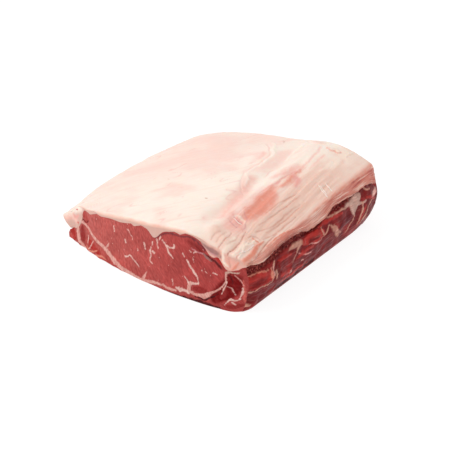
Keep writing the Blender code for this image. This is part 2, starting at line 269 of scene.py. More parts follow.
# Strokes on the near face: colour, softness, height, then its line as (x, z, half width)
NEAR_STROKES = (
    (SMALL_MUSCLE, 3.0, -0.7, ((78, 10, 5), (84, 17, 8), (91, 25, 9.5), (93, 32, 7))),
    (OVAL_RED, 2.0, 0.5, ((83, 12, 1.5), (86, 17, 2.2), (85, 22, 1.6))),
    (OVAL_RED, 1.6, 0.5, ((90, 5, 2.0), (96, 6, 2.2), (101, 8, 1.5))),
    # Painted highlight down the corner edge
    (CORNER_HIGHLIGHT_RED, 1.6, 0.6, ((100.5, 33, 0.5), (102, 24, 0.9), (102.5, 12, 0.9))),
    # Painted shade: a dark line along the foot of the near face, for the contact shadow and the
    # shaded underside
    (DARK_MAROON, 1.4, -0.4, ((28, 0.6, 0.4), (48, 0.8, 1.4), (66, 1.2, 2.2), (82, 1.0, 1.4))),
    # Painted shade in the gaps between the muscles, along the lower side of their seams
    (DARK_MAROON, 1.0, -0.6, ((58, 5.4, 0.4), (66, 5, 0.9), (73, 8.4, 0.7), (79, 13.6, 0.4))),
    (DARK_MAROON, 1.0, -0.5, ((86.6, 35.6, 0.3), (90.4, 33, 0.5), (92, 27, 0.3))),
    (MAROON, 1.4, -0.4, ((96, 21, 0.5), (98.6, 27, 0.8), (97.4, 33, 0.5))),
    (OVAL_RED, 1.4, 0.5, ((90, 36, 0.6), (95, 37, 1.2), (100, 36.6, 0.8))),
    (TAIL_RED, 2.0, 0.4, ((-86, 31, 2.6), (-82, 30, 3.4), (-79, 27, 2.8))),
    (DEEP_RED, 1.2, -0.5, ((-88, 24.5, 0.4), (-84, 24.2, 0.7), (-78, 24.6, 0.5), (-75, 27, 0.3))),
    (OVAL_RED, 1.6, 0.7, ((-83.5, 17, 2.2), (-82, 12, 3.2), (-79.5, 8, 2.6))),
    (BRIGHT_RED, 1.6, 0.9, ((-99, 9, 2.2), (-95, 7, 3.2), (-91, 3.5, 2.4))),
    (BRIGHT_RED, 1.4, 0.5, ((-70, 9, 2.0), (-62, 6.5, 2.6), (-55, 5, 2.0))),
    # Painted shade: a thin dark line along the lean's edge under the fat
    (SEAM_SHADE_LINE, 0.9, -0.3, ((11, 46.5, 0.3), (17, 51.5, 0.5), (25, 56.5, 0.7), (37, 57.8, 0.7),
                            (45, 60, 0.6), (53, 59.2, 0.9), (59, 56, 1.0), (63, 52, 0.9))),
    (MAROON, 8.0, 0.0, ((46, 56, 0.5), (54, 54, 1.6), (60, 50, 1.0))),
    (SEAM_PINK, 0.5, 0.3, ((-91, 19, 1.7), (-85, 21.5, 1.5), (-79, 21.5, 1.4), (-74, 20.3, 1.4),
                           (-70, 18, 1.4), (-64, 15, 1.7), (-55, 13.5, 1.8), (-47, 12, 2.0),
                           (-40, 9, 2.1), (-32, 5.6, 2.2), (-23, 3.0, 2.1), (-14, 1.7, 2.0),
                           (-5, 1.2, 1.7), (2, 1.5, 1.6), (7, 2.4, 1.4), (15, 3.9, 1.3),
                           (22, 4.7, 1.0))),
    (SEAM_PINK, 0.5, 0.2, ((-92, 18, 2.4), (-90, 12, 2.1), (-87, 8, 1.8), (-83, 4.3, 1.5),
                           (-78, 2.0, 1.0), (-71, 1, 0.6))),
    (SEAM_PINK, 0.4, 0.1, ((-48, 12, 1.2), (-45.5, 16, 0.8), (-43.5, 20, 0.4))),
    (SEAM_PINK, 0.4, 0.1, ((1.5, 3, 1.6), (3, 7, 1.0), (4.5, 11, 0.4))),
    (MARBLE, 0.4, 0.0, ((-74.5, 13, 0.4), (-72, 7, 0.5))),
    (MARBLE, 0.4, 0.1, ((-65.5, 12, 0.3), (-66.5, 7, 0.5), (-67.5, 3, 0.5))),
    (ORANGE_PINK, 0.5, 0.1, ((-72, 4, 0.6), (-66, 2, 0.8), (-61, 3.5, 0.8), (-57, 6.5, 0.6))),
    (ORANGE_PINK, 0.5, 0.1, ((-58, 1.2, 0.9), (-50, 3.8, 0.8), (-45, 3, 0.5))),
    (MARBLE, 0.3, 0.0, ((-39.3, 38.5, 0.7), (-38, 34, 0.6))),
    (MARBLE, 0.3, 0.0, ((-23.2, 32.5, 0.4), (-22, 29.5, 0.7))),
    (MARBLE, 0.3, 0.0, ((-20.5, 42.5, 0.5), (-17.5, 40.5, 0.3), (-15, 38, 0.3), (-14, 35.5, 0.4))),
    (MARBLE, 0.3, 0.0, ((-7.3, 30, 0.4), (-6.5, 28, 0.5))),
    (MARBLE, 0.3, 0.0, ((-1, 38, 0.7), (0.5, 35, 0.6), (1.7, 32, 0.4))),
    (MARBLE, 0.3, 0.1, ((-21.5, 15.8, 0.9), (-18.5, 17.5, 0.7), (-15.8, 19.8, 0.6),
                        (-12, 17.5, 0.4), (-7.5, 15, 0.7), (-4.5, 12.5, 0.4))),
    (MARBLE, 0.3, 0.0, ((8, 42, 0.5), (8.2, 38.5, 0.5))),
    (MARBLE, 0.3, 0.1, ((7.3, 36.5, 0.5), (7, 33, 0.8), (8.2, 28, 0.5), (7.6, 23.5, 0.5),
                        (10.5, 21.5, 0.3))),
    (MARBLE, 0.3, 0.1, ((10.2, 33.2, 1.1), (11.6, 32.8, 1.1))),
    (MARBLE, 0.3, 0.0, ((13, 46.5, 0.9), (14, 42.5, 0.6), (15.2, 38.5, 0.4))),
    (MARBLE, 0.3, 0.0, ((16.5, 50, 0.8), (15.5, 46.5, 0.4))),
    (MARBLE, 0.3, 0.1, ((19, 48.3, 0.5), (22, 45.7, 0.6), (25, 43.3, 0.9), (27, 40, 0.8),
                        (29.2, 37.8, 0.6), (32.4, 34.6, 0.5))),
    (MARBLE, 0.3, 0.1, ((24.5, 44.8, 0.6), (28.5, 44.2, 0.6), (32.2, 45.2, 1.0), (32.2, 48, 0.7))),
    (MARBLE, 0.3, 0.1, ((46.5, 38.3, 0.7), (49, 35, 0.9), (52, 31, 0.8), (55, 28.5, 1.1),
                        (57.3, 26, 0.9), (59.3, 22.6, 0.5), (60.2, 19.5, 0.5))),
    (MARBLE, 0.3, 0.1, ((45.3, 21.3, 0.4), (48.3, 18.6, 0.6), (51, 16.8, 0.9))),
    (MARBLE, 0.4, 0.2, ((50.5, 16.5, 1.3), (55, 17.3, 1.0), (60, 19, 0.8))),
    (SEAM_PINK, 0.5, 0.2, ((52, 17, 1.5), (51.3, 13, 1.9), (51, 8, 1.7))),
    (MARBLE, 0.5, 0.2, ((39, 7.6, 1.2), (43, 7.4, 1.8), (47, 7.9, 1.4), (51, 7.2, 1.5))),
    (SEAM_PINK, 0.5, 0.1, ((24, 5.4, 1.0), (31, 4.2, 1.1), (38, 4.6, 1.0))),
    (OVAL_RED, 1.2, 0.4, ((57, 13, 2.2), (62, 13.5, 3.2), (67, 14.5, 2.2))),
    (SEAM_PINK, 0.5, 0.2, ((53.5, 8.4, 1.2), (58, 7.6, 1.2), (62.5, 8, 1.6), (66.5, 8.6, 2.3),
                           (70.5, 11.2, 2.3), (74, 14, 1.2))),
    (SEAM_PINK, 0.4, 0.1, ((73, 13.5, 1.2), (78, 17.5, 0.8), (82, 21.5, 0.7), (84.4, 26, 0.7),
                           (85.6, 31, 0.8), (85, 36, 1.0))),
    (PALE_GREY, 0.4, 0.2, ((84.5, 37, 1.0), (88, 38.6, 1.0), (92, 38.6, 0.7), (97, 39.5, 0.5))),
    (MARBLE, 0.3, 0.0, ((86.5, 28.3, 0.7), (86, 25, 0.5), (84.6, 20.5, 0.5), (83, 15.5, 0.4))),
    (MARBLE, 0.3, 0.1, ((87, 5.5, 0.3), (89, 9.4, 0.5), (91.5, 12.2, 1.0), (95, 12, 0.7),
                        (98.6, 13.6, 0.5), (100, 18, 0.6), (101, 22, 0.9), (101, 26, 0.4))),
    (MARBLE, 0.3, 0.0, ((88, 24, 0.3), (91, 23, 0.35), (93, 20.5, 0.35), (95.5, 17, 0.3))),
    (MARBLE, 0.3, 0.0, ((92.6, 10, 0.7), (96, 8, 0.5))),
    (ROSE, 0.4, 0.0, ((93, 36.5, 0.5), (98, 32.5, 0.4), (101.2, 28, 0.4))),
    (MARBLE, 0.3, 0.0, ((48.5, 47.8, 0.5), (50.2, 46.2, 0.5))),
    (MARBLE, 0.3, 0.0, ((52.6, 46.8, 0.6), (55, 48.2, 0.5))),
    (MARBLE, 0.3, 0.0, ((42, 43.3, 0.4), (43.8, 40.2, 0.4))),
    (MARBLE, 0.3, 0.0, ((52, 41, 0.4), (53.8, 38.2, 0.4))),
    (MARBLE, 0.3, 0.0, ((62, 32.4, 0.4), (63.4, 31, 0.4))),
    (MARBLE, 0.3, 0.0, ((65.4, 32.2, 0.4), (67.4, 31.4, 0.3))),
    (MARBLE, 0.3, 0.0, ((73.4, 33.2, 0.5), (77.4, 32.8, 0.5))),
    (MARBLE, 0.3, 0.0, ((33.6, 14, 0.5), (34.6, 9, 0.3))),
    (MAUVE, 0.5, -0.1, ((50, 50.5, 0.4), (54, 49, 0.5), (58, 48.6, 0.5), (62, 48.8, 0.5))),
    # Painted shade in the deep seam between the eye and the muscle by the chine, under the fat
    (DARK_MAROON, 2.4, -0.7, ((63, 48.4, 0.3), (68, 46.6, 0.9), (74, 44.4, 1.2), (80, 40, 0.9))),
    (SILVER, 0.5, 0.2, ((62, 49.3, 0.7), (64.5, 46.4, 1.0), (67.5, 44.8, 0.8), (70.5, 44, 0.5))),
    (BRIGHT_RED, 0.8, 0.2, ((74, 50, 0.8), (77, 47, 1.6), (80, 44.5, 1.0))),
)

# Strokes on the fat's near cut face: the same, laid after the plain colour of cut fat
BAND_STROKES = (
    (DEEP_BLUSH, 5.0, 0.3, ((-106, 17, 2.4), (-101, 22, 3.6), (-95, 20, 3.0))),
    (CREAM, 7.0, 0.2, ((-109, 20, 2.0), (-105, 25, 4.0), (-98, 29, 4.4), (-89, 33, 2.4))),
    (ROSE, 2.4, -0.2, ((-98, 24, 0.6), (-94, 22, 1.2), (-91, 25, 0.8))),
    (CORNER_PINK, 9.0, 0.0, ((66, 56, 2), (76, 51, 5), (86, 46, 6), (98, 43, 5))),
    (SILVER, 2.4, 0.3, ((58, 59, 0.6), (64, 56, 1.6), (70, 54, 2.4), (75, 52, 2.4), (79, 50, 0.8))),
    (MAUVE, 1.4, -0.2, ((63, 54.4, 0.3), (69, 51.6, 0.6), (75, 50.4, 0.3))),
    # Painted shade in two creases, and a painted highlight on the fold beside them
    (CREASE_SHADE, 1.8, -0.5, ((76.4, 58, 0.2), (77.4, 53, 0.4), (76.6, 49, 0.3))),
    (CREASE_SHADE, 1.8, -0.5, ((86, 53, 0.2), (86.6, 48, 0.4), (89, 43, 0.3))),
    (SHELL_AND_HIGHLIGHT, 2.0, 0.5, ((80, 54, 0.9), (82.4, 47, 1.4), (86, 43.6, 0.8))),
    (ORANGE_PINK, 2.0, 0.6, ((95, 49, 0.8), (93, 45, 1.2), (90.4, 41.6, 0.8))),
    (RIM_RED, 1.4, 0.0, ((84, 38.4, 0.2), (89, 39.6, 0.4), (94, 40.6, 0.5), (100, 42.6, 0.3))),
    (BLOOD, 0.7, 0.0, ((-95, 29.6, 0.4), (-92.6, 30.2, 0.6))),
    (BLOOD, 0.7, 0.0, ((-91.2, 18.6, 0.5), (-90, 18.2, 0.7))),
)

# Strokes on the chine side: the same, with its line as (y, z, half width)
CHINE_STROKES = (
    (MAROON, 3.0, -0.8, ((-94, 13.5, 4.4), (-82, 13, 4.6), (-72, 12, 4.6), (-60, 12, 4.4))),
    (BRIGHT_RED, 1.8, 1.4, ((-93, 29, 6.8), (-82, 29, 6.6), (-72, 28, 6.4), (-65, 27.5, 5.2))),
    (DEEP_RED, 4.0, -0.2, ((-88, 27, 3.4), (-80, 27, 3.8), (-72, 26.5, 2.2))),
    (ORANGE_PINK, 1.0, 0.3, ((-94, 36.8, 0.5), (-81, 35.8, 0.6), (-68, 34, 0.5))),
    (ORANGE_PINK, 2.4, 0.3, ((-63, 33, 1.0), (-63.4, 28, 1.7), (-63, 23, 1.2))),
    (TAN, 0.8, 0.4, ((-94, 21.5, 0.5), (-88, 20.4, 0.7), (-78, 20.6, 0.6), (-68, 20.2, 0.6),
                     (-62, 21, 0.5))),
    (TAN, 1.2, 0.3, ((-57, 37, 0.8), (-59.5, 33, 1.2), (-60.5, 27, 1.0), (-58.5, 23.5, 1.3),
                     (-55.5, 26.5, 1.6), (-53.5, 23.5, 1.4), (-55.5, 20, 1.0))),
    (DEEP_RED, 2.0, 0.9, ((-51.5, 30, 3.6), (-44, 29.4, 5.2), (-34, 28.6, 5.2), (-28, 30.6, 3.4))),
    (BRIGHT_RED, 2.0, 0.3, ((-50, 34, 1.0), (-42, 34, 1.6), (-33, 32, 1.4))),
    # A dark groove between blocks, partly painted shade
    (CREVICE_RED_AND_SHADE, 1.2, -0.9, ((-53.5, 30, 0.9), (-51.6, 24, 1.2), (-49, 20.6, 0.9))),
    (TAN, 2.0, 0.5, ((-34, 37.4, 1.2), (-27, 37.6, 2.2), (-19, 36.2, 2.8), (-12, 32.4, 1.6))),
    (TAN, 3.0, 0.3, ((-19, 34, 2.4), (-23.5, 30, 1.2), (-27, 25, 0.4), (-30, 21, 0.0))),
    (BRIGHT_RED, 1.6, 1.2, ((-12, 33.2, 3.0), (-3, 32.2, 5.2), (7, 31.4, 5.6), (14, 30.6, 4.6))),
    (DEEP_RED, 2.4, 0.0, ((-6, 30.6, 1.2), (2, 30.4, 1.8), (9, 29.6, 1.2))),
    (TAN, 0.8, 0.4, ((17, 37.4, 0.6), (14.4, 32.4, 0.9), (16.8, 27, 1.0), (21, 27.4, 1.0),
                     (26, 32.4, 0.7))),
    (ROSE, 0.9, 0.2, ((16, 26.4, 0.6), (11, 23, 0.5), (4, 25.4, 0.5), (-7, 28.6, 0.4))),
    (MAROON, 3.0, 0.4, ((-40, 11, 3.0), (-26, 15, 5.4), (-10, 17, 6.0), (6, 16, 6.0),
                        (18, 20, 5.0), (30, 22, 4.6))),
    (BRIGHT_RED, 2.4, 0.2, ((-49, 17.6, 1.2), (-40, 16, 2.0), (-31, 14.6, 1.6))),
    (DARK_MAROON, 2.6, -0.6, ((-54, 6, 1.4), (-40, 4, 1.8), (-20, 4.4, 1.6), (4, 5, 1.6))),
    (MARBLE, 0.8, 0.3, ((-33.4, 15.4, 0.5), (-31.4, 13.2, 0.5), (-33.6, 12.6, 0.4))),
    (ROSE, 0.8, 0.2, ((-16, 17, 0.8), (-14, 15.6, 0.6))),
    (TAN, 1.0, 0.4, ((17, 42.6, 0.5), (27, 40.6, 0.8), (36, 39.2, 1.0), (47, 39, 1.1),
                     (58, 38.2, 1.0))),
    (DEEP_RED, 1.4, 0.2, ((38, 33, 1.6), (46, 34, 2.0), (56, 35.4, 2.0), (62, 37.4, 1.2))),
    (TAN, 2.2, 0.6, ((28, 30, 1.0), (34, 25, 2.4), (37, 19, 2.6), (40, 14, 1.6))),
    (PURPLE, 2.2, 0.5, ((43, 22, 3.0), (50, 24.6, 4.2), (57, 25, 3.6), (61, 23.4, 2.2))),
    (PALE_GREY, 2.0, 0.6, ((57, 44.5, 1.8), (63, 40.5, 5.0), (68, 36, 6.0), (65, 31.4, 4.4),
                           (64, 27.4, 2.2))),
    (PALE_GREY, 1.2, 0.4, ((70, 34, 2.0), (77, 31.4, 1.4), (84, 30.6, 1.0))),
    (DEEP_RED, 2.0, 0.6, ((80, 40, 3.0), (88, 37.5, 5.0), (96, 34, 6.0), (103, 28, 5.0))),
    (BRIGHT_RED, 2.0, 0.2, ((86, 34, 1.2), (94, 30, 1.8), (100, 26, 1.4))),
    (TAN, 0.8, 0.3, ((83, 44, 0.8), (88, 40, 0.7), (94, 38.4, 0.4))),
    (TAN, 1.0, 0.4, ((79, 31.4, 1.0), (79, 25, 1.0), (74, 18, 1.1), (70, 12, 0.8))),
    (TAN, 1.0, 0.4, ((94, 27, 1.1), (88, 23, 1.0), (81, 16, 1.1), (76, 10, 0.8))),
    (TAN, 1.0, 0.4, ((66, 24, 0.7), (60, 17, 0.8), (54, 11, 0.8))),
    (BRIGHT_RED, 1.8, 0.0, ((84, 26, 1.0), (78, 19, 1.2), (73, 11, 1.0))),
    (MAROON, 1.6, 0.0, ((74, 27, 1.6), (69, 19, 1.8), (64, 12, 1.6))),
    (TAN, 1.6, 0.3, ((-98, 6, 1.4), (-93, 6.6, 2.2), (-88, 5.4, 1.2))),
    # Painted highlight down the rounded corner edge, red with a pale line beside it
    (CORNER_HIGHLIGHT_RED, 1.4, 0.6, ((-97, 36, 0.9), (-97.4, 27, 1.8), (-97.6, 19, 1.9), (-97, 11, 1.4))),
    (SEAM_PINK, 1.0, 0.3, ((-95.4, 34, 0.5), (-95.6, 27, 0.8), (-94.6, 20, 0.8), (-95, 13, 0.4))),
    (PALE_GREY, 2.4, 0.6, ((52, 40, 0.8), (60, 39.6, 3.6), (68, 37, 5.8), (74, 38.6, 4.4))),
    (PALE_GREY, 1.8, 0.5, ((62, 35, 2.0), (63, 29, 1.6), (66, 25, 0.8))),
    (TAN, 1.4, 0.4, ((32, 30, 1.0), (35, 25, 1.6), (39, 20, 1.4), (45, 15, 0.6))),
    (SEAM_PINK, 1.8, 0.3, ((95, 31, 1.0), (101, 30, 2.4), (106, 31, 2.2))),
    (BRIGHT_RED, 1.6, 0.4, ((12, 37.6, 0.6), (22, 37.4, 1.4), (34, 36.8, 1.6), (46, 36, 1.0))),
    (ROSE, 0.8, 0.3, ((-60, 33.6, 0.3), (-61, 28, 0.6), (-60, 22, 0.5))),
    (ROSE, 1.0, 0.3, ((-20, 26, 0.3), (-12, 22, 0.7), (-2, 19, 0.4))),
    (BRIGHT_RED, 2.0, 0.3, ((-24, 22, 0.8), (-12, 24.6, 1.6), (0, 24, 1.0))),
    (BRIGHT_RED, 2.0, 0.3, ((-46, 11, 0.8), (-30, 9, 1.6), (-14, 10, 1.0))),
)

# Strokes on the top of the fat: the same, with its line as (x, y, half width)
# The pale shell strokes on raised ridges and lips are painted highlights
TOP_STROKES = (
    (BLUSH, 16.0, 0.0, ((-84, 74, 10), (-55, 76, 14), (-38, 50, 14), (-20, 42, 12))),
    (BLUSH, 14.0, 0.0, ((-92, -20, 8), (-70, 10, 10), (-60, 40, 10))),
    (BLUSH, 12.0, 0.0, ((20, 20, 6), (30, 40, 8), (30, 64, 8))),
    (BLUSH, 12.0, -0.4, ((-4, 52, 3), (6, 54, 5), (12, 48, 5), (12, 40, 3))),
    (DEEP_BLUSH, 6.0, -0.2, ((9, 58, 0.8), (13, 53, 1.4), (14, 47, 0.8))),
    (DEEP_BLUSH, 12.0, 0.0, ((30, 8, 4), (40, -14, 5), (46, -40, 5), (50, -60, 4))),
    (BEIGE, 12.0, 0.0, ((84, -64, 11), (88, -20, 12), (86, 20, 13), (84, 62, 14))),
    (BEIGE, 8.0, 0.0, ((64, -82, 6), (76, -86, 8), (88, -84, 7))),
    (SHELL_AND_HIGHLIGHT, 8.0, 0.2, ((80, 70, 6), (84, 84, 6), (78, 96, 4))),
    (DEEP_BLUSH, 18.0, 0.0, ((60, 6, 4.0), (62, -12, 9.0), (64, -28, 12.0), (66, -46, 9.0))),
    (SALMON, 10.0, -0.2, ((60, 4, 2.0), (64, -8, 6.6), (67, -22, 9.6), (69, -36, 8.6),
                          (70, -48, 3.0))),
    (CORAL, 7.0, -0.1, ((64, -4, 0.8), (69, -14, 2.4), (68, -26, 3.6), (71, -36, 2.4))),
    (DEEP_BLUSH, 12.0, 0.0, ((52, 20, 3.0), (56, 34, 6.0), (58, 46, 4.0))),
    (DEEP_BLUSH, 12.0, 0.0, ((60, -58, 4.0), (66, -66, 6.0), (72, -70, 3.0))),
    (BLUSH, 9.0, 0.2, ((55, -24, 3.0), (57, -38, 4.0), (58, -48, 3.0))),
    (SALMON, 7.0, -0.2, ((65, 10, 1.6), (66, 20, 3.0), (64.4, 30, 3.0), (62.6, 40, 1.8))),
    (ROSE, 6.0, -0.2, ((64, 33, 1.4), (70, 29, 2.6), (74, 20, 1.6))),
    (CORAL, 2.4, -0.2, ((61.5, 44, 0.5), (62.6, 42.4, 0.6))),
    (ROSE, 13.0, -0.2, ((56, -50, 1.0), (66, -56, 3.6), (74, -62, 2.0))),
    (SHELL_AND_HIGHLIGHT, 2.6, 0.4, ((60.4, -54, 0.4), (61.4, -49.4, 0.8), (66, -50.6, 0.9), (72, -53.4, 0.6))),
    (MAUVE, 2.6, -0.3, ((64, -43, 0.0), (69, -47.6, 0.1), (72.7, -51.6, 0.2), (75.7, -58, 0.2),
                        (76.1, -63, 0.2))),
    (MAUVE, 2.4, -0.1, ((59, -52, 0.1), (65, -55, 0.3), (70, -56, 0.1))),
    (MAUVE, 2.4, -0.1, ((58, -59.6, 0.1), (65, -62, 0.3), (70.6, -63.4, 0.1))),
    (BLUSH, 1.8, -0.6, ((-4, 82, 0.6), (10, 66, 0.8), (19, 55, 0.9), (20, 34, 0.9), (18, 28, 0.9),
                        (19, 17, 0.7), (25, 4, 0.7), (32, -7, 0.5), (44, -19, 0.3))),
    (CREAM, 5.0, 1.0, ((0, 86, 0.5), (14, 69, 1.0), (23, 57, 1.4), (24, 34, 1.4), (22, 27, 1.2),
                       (23, 17, 1.0), (29, 6, 0.8), (35, -4, 0.4))),
    (ROSE, 3.0, -0.4, ((61, 46, 0.4), (60, 31, 0.8), (59, 15, 0.9), (57, 2, 0.7), (55, -8, 0.4))),
    (CREAM, 3.0, 0.7, ((39, 53, 0.6), (37, 66, 1.2), (34, 90, 1.2), (37, 99, 0.8))),
    (DEEP_BLUSH, 4.5, -0.4, ((61, 47, 0.6), (61, 62, 1.0), (58, 76, 1.0), (54.5, 88, 0.3))),
    (DEEP_BLUSH, 4.0, -0.3, ((67, 50, 0.4), (68, 62, 0.8), (66, 76, 0.4))),
    (SHELL_AND_HIGHLIGHT, 5.0, 0.3, ((76.6, 54, 1.0), (79, 64, 1.6), (76.3, 74, 1.2), (83, 73, 1.4))),
    (BEIGE, 5.0, -0.2, ((84, 56, 1.4), (88, 66, 1.8), (84, 82, 1.4))),
    (BLUSH, 4.0, 0.9, ((40, 97, 2.0), (46, 94, 3.0), (51, 94, 2.0))),
    (CORNER_PINK, 1.2, 0.2, ((61.5, 90, 1.4), (68, 89.6, 2.6), (74.2, 90.4, 2.4))),
    (SHELL_AND_HIGHLIGHT, 0.8, 0.9, ((62, 90.6, 1.2), (68, 90.8, 2.4), (73.6, 91, 2.0))),
    (SHELL_AND_HIGHLIGHT, 2.0, 0.8, ((83, 88, 0.8), (82.4, 93, 1.0), (83, 99, 1.2), (90, 100, 1.0))),
    (SPECK, 1.0, 0.4, ((4, 94, 0.3), (9, 91, 0.5), (11, 87, 0.3))),
    (SPECK, 1.0, -0.2, ((-41.4, -21, 0.3), (-40.6, -20.6, 0.3))),
    (SPECK, 1.2, -0.2, ((20.6, -43, 0.3), (21.6, -42.6, 0.5))),
)

# Strokes on the folds of the fat, at its near corner and along its shoulder: the same; the pale
# strokes on raised folds are painted highlights, the crease and groove strokes painted shade
FOLD_STROKES = (
    (SHELL_AND_HIGHLIGHT, 3.0, 0.5, ((80, -95, 1.4), (81, -86, 2.2), (78.5, -76, 1.4))),
    (CORNER_PINK, 5.0, 0.2, ((88, -98, 2.6), (94, -98, 3.0), (99, -92, 2.4))),
    (SHELL_AND_HIGHLIGHT, 2.4, 0.6, ((89, -92, 0.8), (89.6, -84, 1.4), (87, -74, 1.0))),
    (CREASE_SHADE, 1.6, -0.8, ((74.6, -96, 0.3), (75.7, -88, 0.5), (74.6, -80, 0.4), (72.4, -73, 0.2))),
    (CREASE_SHADE, 1.6, -0.9, ((84.2, -94, 0.5), (86.1, -85, 0.6), (83.4, -73, 0.5), (79.4, -61, 0.2))),
    (RIM_RED, 0.9, -0.3, ((84.2, -93.4, 0.3), (84.9, -91, 0.2))),
    (CREASE_SHADE, 1.4, -0.6, ((90.6, -95, 0.3), (93.4, -90, 0.4), (93.9, -83.5, 0.2))),
    (GROOVE_SHADE, 3.0, -0.5, ((65.9, -93, 0.1), (64, -86.6, 0.4), (65.6, -80, 0.2))),
    (GROOVE_SHADE, 3.0, -0.5, ((70.6, -92, 0.1), (69.6, -84, 0.4), (69, -76, 0.2))),
    (GROOVE_SHADE, 2.6, -0.4, ((79.6, -88, 0.1), (80.4, -80, 0.4), (78, -70, 0.2))),
    (CREASE_SHADE, 1.8, -0.9, ((103.4, -91, 0.4), (102.6, -77, 0.7), (101, -66, 0.6), (98.6, -54, 0.5),
                         (98, -40, 0.2))),
    (ORANGE_PINK, 2.6, 1.2, ((99, -94, 1.0), (99.6, -86, 1.9), (98.6, -75.5, 2.1), (96.2, -66, 1.5),
                             (96, -58, 0.7))),
    (SHELL_AND_HIGHLIGHT, 1.2, 0.7, ((95.2, -91, 0.5), (93.2, -84.6, 0.8), (90.4, -78.6, 0.8), (90, -70, 0.5))),
    (ORANGE_PINK, 1.2, 0.5, ((87.8, -63, 0.4), (90.7, -64, 0.8), (93.6, -63.4, 0.8))),
    (SHELL_AND_HIGHLIGHT, 1.2, 0.6, ((91, -64.4, 0.5), (92.8, -69.5, 0.9), (91, -76, 0.6))),
    (CREASE_SHADE, 1.2, -0.5, ((86.4, -66, 0.2), (86.8, -61.4, 0.4), (90, -59.4, 0.3), (94, -60, 0.2))),
    (ORANGE_PINK, 1.8, 0.4, ((101.4, -60, 0.6), (100.8, -48, 0.9), (101.4, -36, 0.8),
                             (101.8, -27, 0.4))),
    (GROOVE_SHADE, 1.6, -0.5, ((78.4, -30, 0.2), (77.8, -20, 0.4), (78.2, -5, 0.4), (81.6, 13, 0.2))),
    (GROOVE_SHADE, 1.6, -0.5, ((82.8, -47, 0.2), (83.6, -31, 0.4), (84.4, -11, 0.4), (84.6, 12, 0.2))),
    (GROOVE_SHADE, 1.6, -0.5, ((85.6, -56, 0.2), (90.6, -38, 0.4), (89.4, -12, 0.4), (90, 4, 0.2))),
    (GROOVE_SHADE, 1.6, -0.5, ((92, -48, 0.2), (92.8, -31, 0.4), (92.2, -13, 0.4), (92.4, 10, 0.2))),
    (GROOVE_SHADE, 1.4, -0.4, ((94.4, -56, 0.2), (97, -40, 0.4), (96, -10, 0.3))),
)

# White strands of tissue that lie on the shoulder and on the corner: (x, y) from end to end
STRANDS = (
    ((88.5, 35.8), (93, 33.6), (97.5, 32.2), (102, 31.2)),
    ((90.5, 36.2), (95, 34.6), (99.5, 33.2)),
    ((91, 43), (96, 41.4), (101, 40.2)),
    ((61.5, -55.5), (66.5, -57), (71, -56.4)),
    ((92, -88), (94, -82), (95, -76), (94.5, -70)),
)
STRAND_RADIUS = 0.42
STRAND_LIFT = 0.132           # how far the middle of a strand lies over the fat
STRAND_STEPS = 8
OVER_ALL = 200.0              # a height from which a ray comes down on the fat

# Crumbs of torn tissue in the cleft
CRUMBS_PER_SQUARE_METRE = 260000.0
CRUMB_BED = 0.55              # crumbs lie where the cleft's mask is above this
CRUMB_RADIUS = 0.9
CRUMB_RAG = 1.8               # how far a crumb's surface is pushed about
CRUMB_SEED = 7

# How strokes and relief are laid
STROKE_STEPS = 6              # straight steps from one point of a stroke to the next
OFF_FOOT = (-0.8, -0.3)       # how a face looks, down to up, from no relief to all of it


def mix(a, b, share):
    return a + (b - a) * share


def bell(value, centre, width):
    """1 at the centre, falling smoothly away on both sides."""
    return np.exp(-(((value - centre) / width) ** 2))


def ramp(value, start, end):
    """0 before start, 1 after end, and smooth in between."""
    share = np.clip((value - start) / (end - start), 0.0, 1.0)
    return share * share * (3 - 2 * share)


def cloud(x, y, size, seed):
    """Smooth noise from about -1 to 1, with lumps about size across."""
    return np.array([noise.noise((a, b, seed)) for a, b in zip(x / size, y / size)])


def streaks(across, length, width, reach, seed):
    """Smooth noise drawn out into streaks of about this width and reach."""
    return cloud(across / width, length / reach, 1.0, seed)


def rounding(distance, radius):
    """How far a surface drops where it is this near to a rounded edge."""
    share = np.clip(1.0 - distance / radius, 0.0, 1.0)
    return radius * (1.0 - np.sqrt(1.0 - share * share))


def curve_point(points, rib):
    """The points at these ribs on a smooth curve through all the given ones, as rows."""
    points = np.array(points, float)
    last = len(points) - 1
    first = np.clip(np.floor(rib).astype(int), 0, last - 1)
    share = (rib - first)[:, None]
    a, b, c, d = (points[np.clip(first + k, 0, last)] for k in (-1, 0, 1, 2))
    return 0.5 * (
        2 * b
        + (c - a) * share
        + (2 * a - 5 * b + 4 * c - d) * share**2
        + (3 * b - 3 * c + d - a) * share**3
    )


def smooth_line(line, steps):
    """Points on a smooth curve through a line's, with this many steps from one to the next."""
    last = len(line) - 1
    return curve_point(line, np.linspace(0, last, steps * last + 1))


def past_tip(rib):
    """0 on the ribs that go round the flank tip, and 1 past them."""
    return ramp(rib, TAIL_RIBS, TAIL_RIBS + 1.5)


def trim(at, table):
    """What a table of places and heights gives at these places."""
    places, heights = np.array(table).T
    return np.interp(at, places, heights)


def between_faces(near, far, rib, along):
    """Points between the two section curves, drawn in at the joint's rounded far corners."""
    x, z = mix(curve_point(near, rib), curve_point(far, rib), along[:, None]).T
    corner = np.maximum(0.0, 1 - (1 - along) * LENGTH / FAR_CORNER_RADIUS) ** 2
    set_in = FLANK_SET_IN * (1 - ramp(x, *FLANK_SET_IN_X)) - CHINE_SET_IN * ramp(x, *CHINE_SET_IN_X)
    belly = FLANK_BELLY * np.sin(np.pi * along) * (1 - ramp(rib, TAIL_RIBS - 1, TAIL_RIBS + 3))
    return x + set_in * corner - belly, z + belly * ramp(rib, 0, TAIL_RIBS)


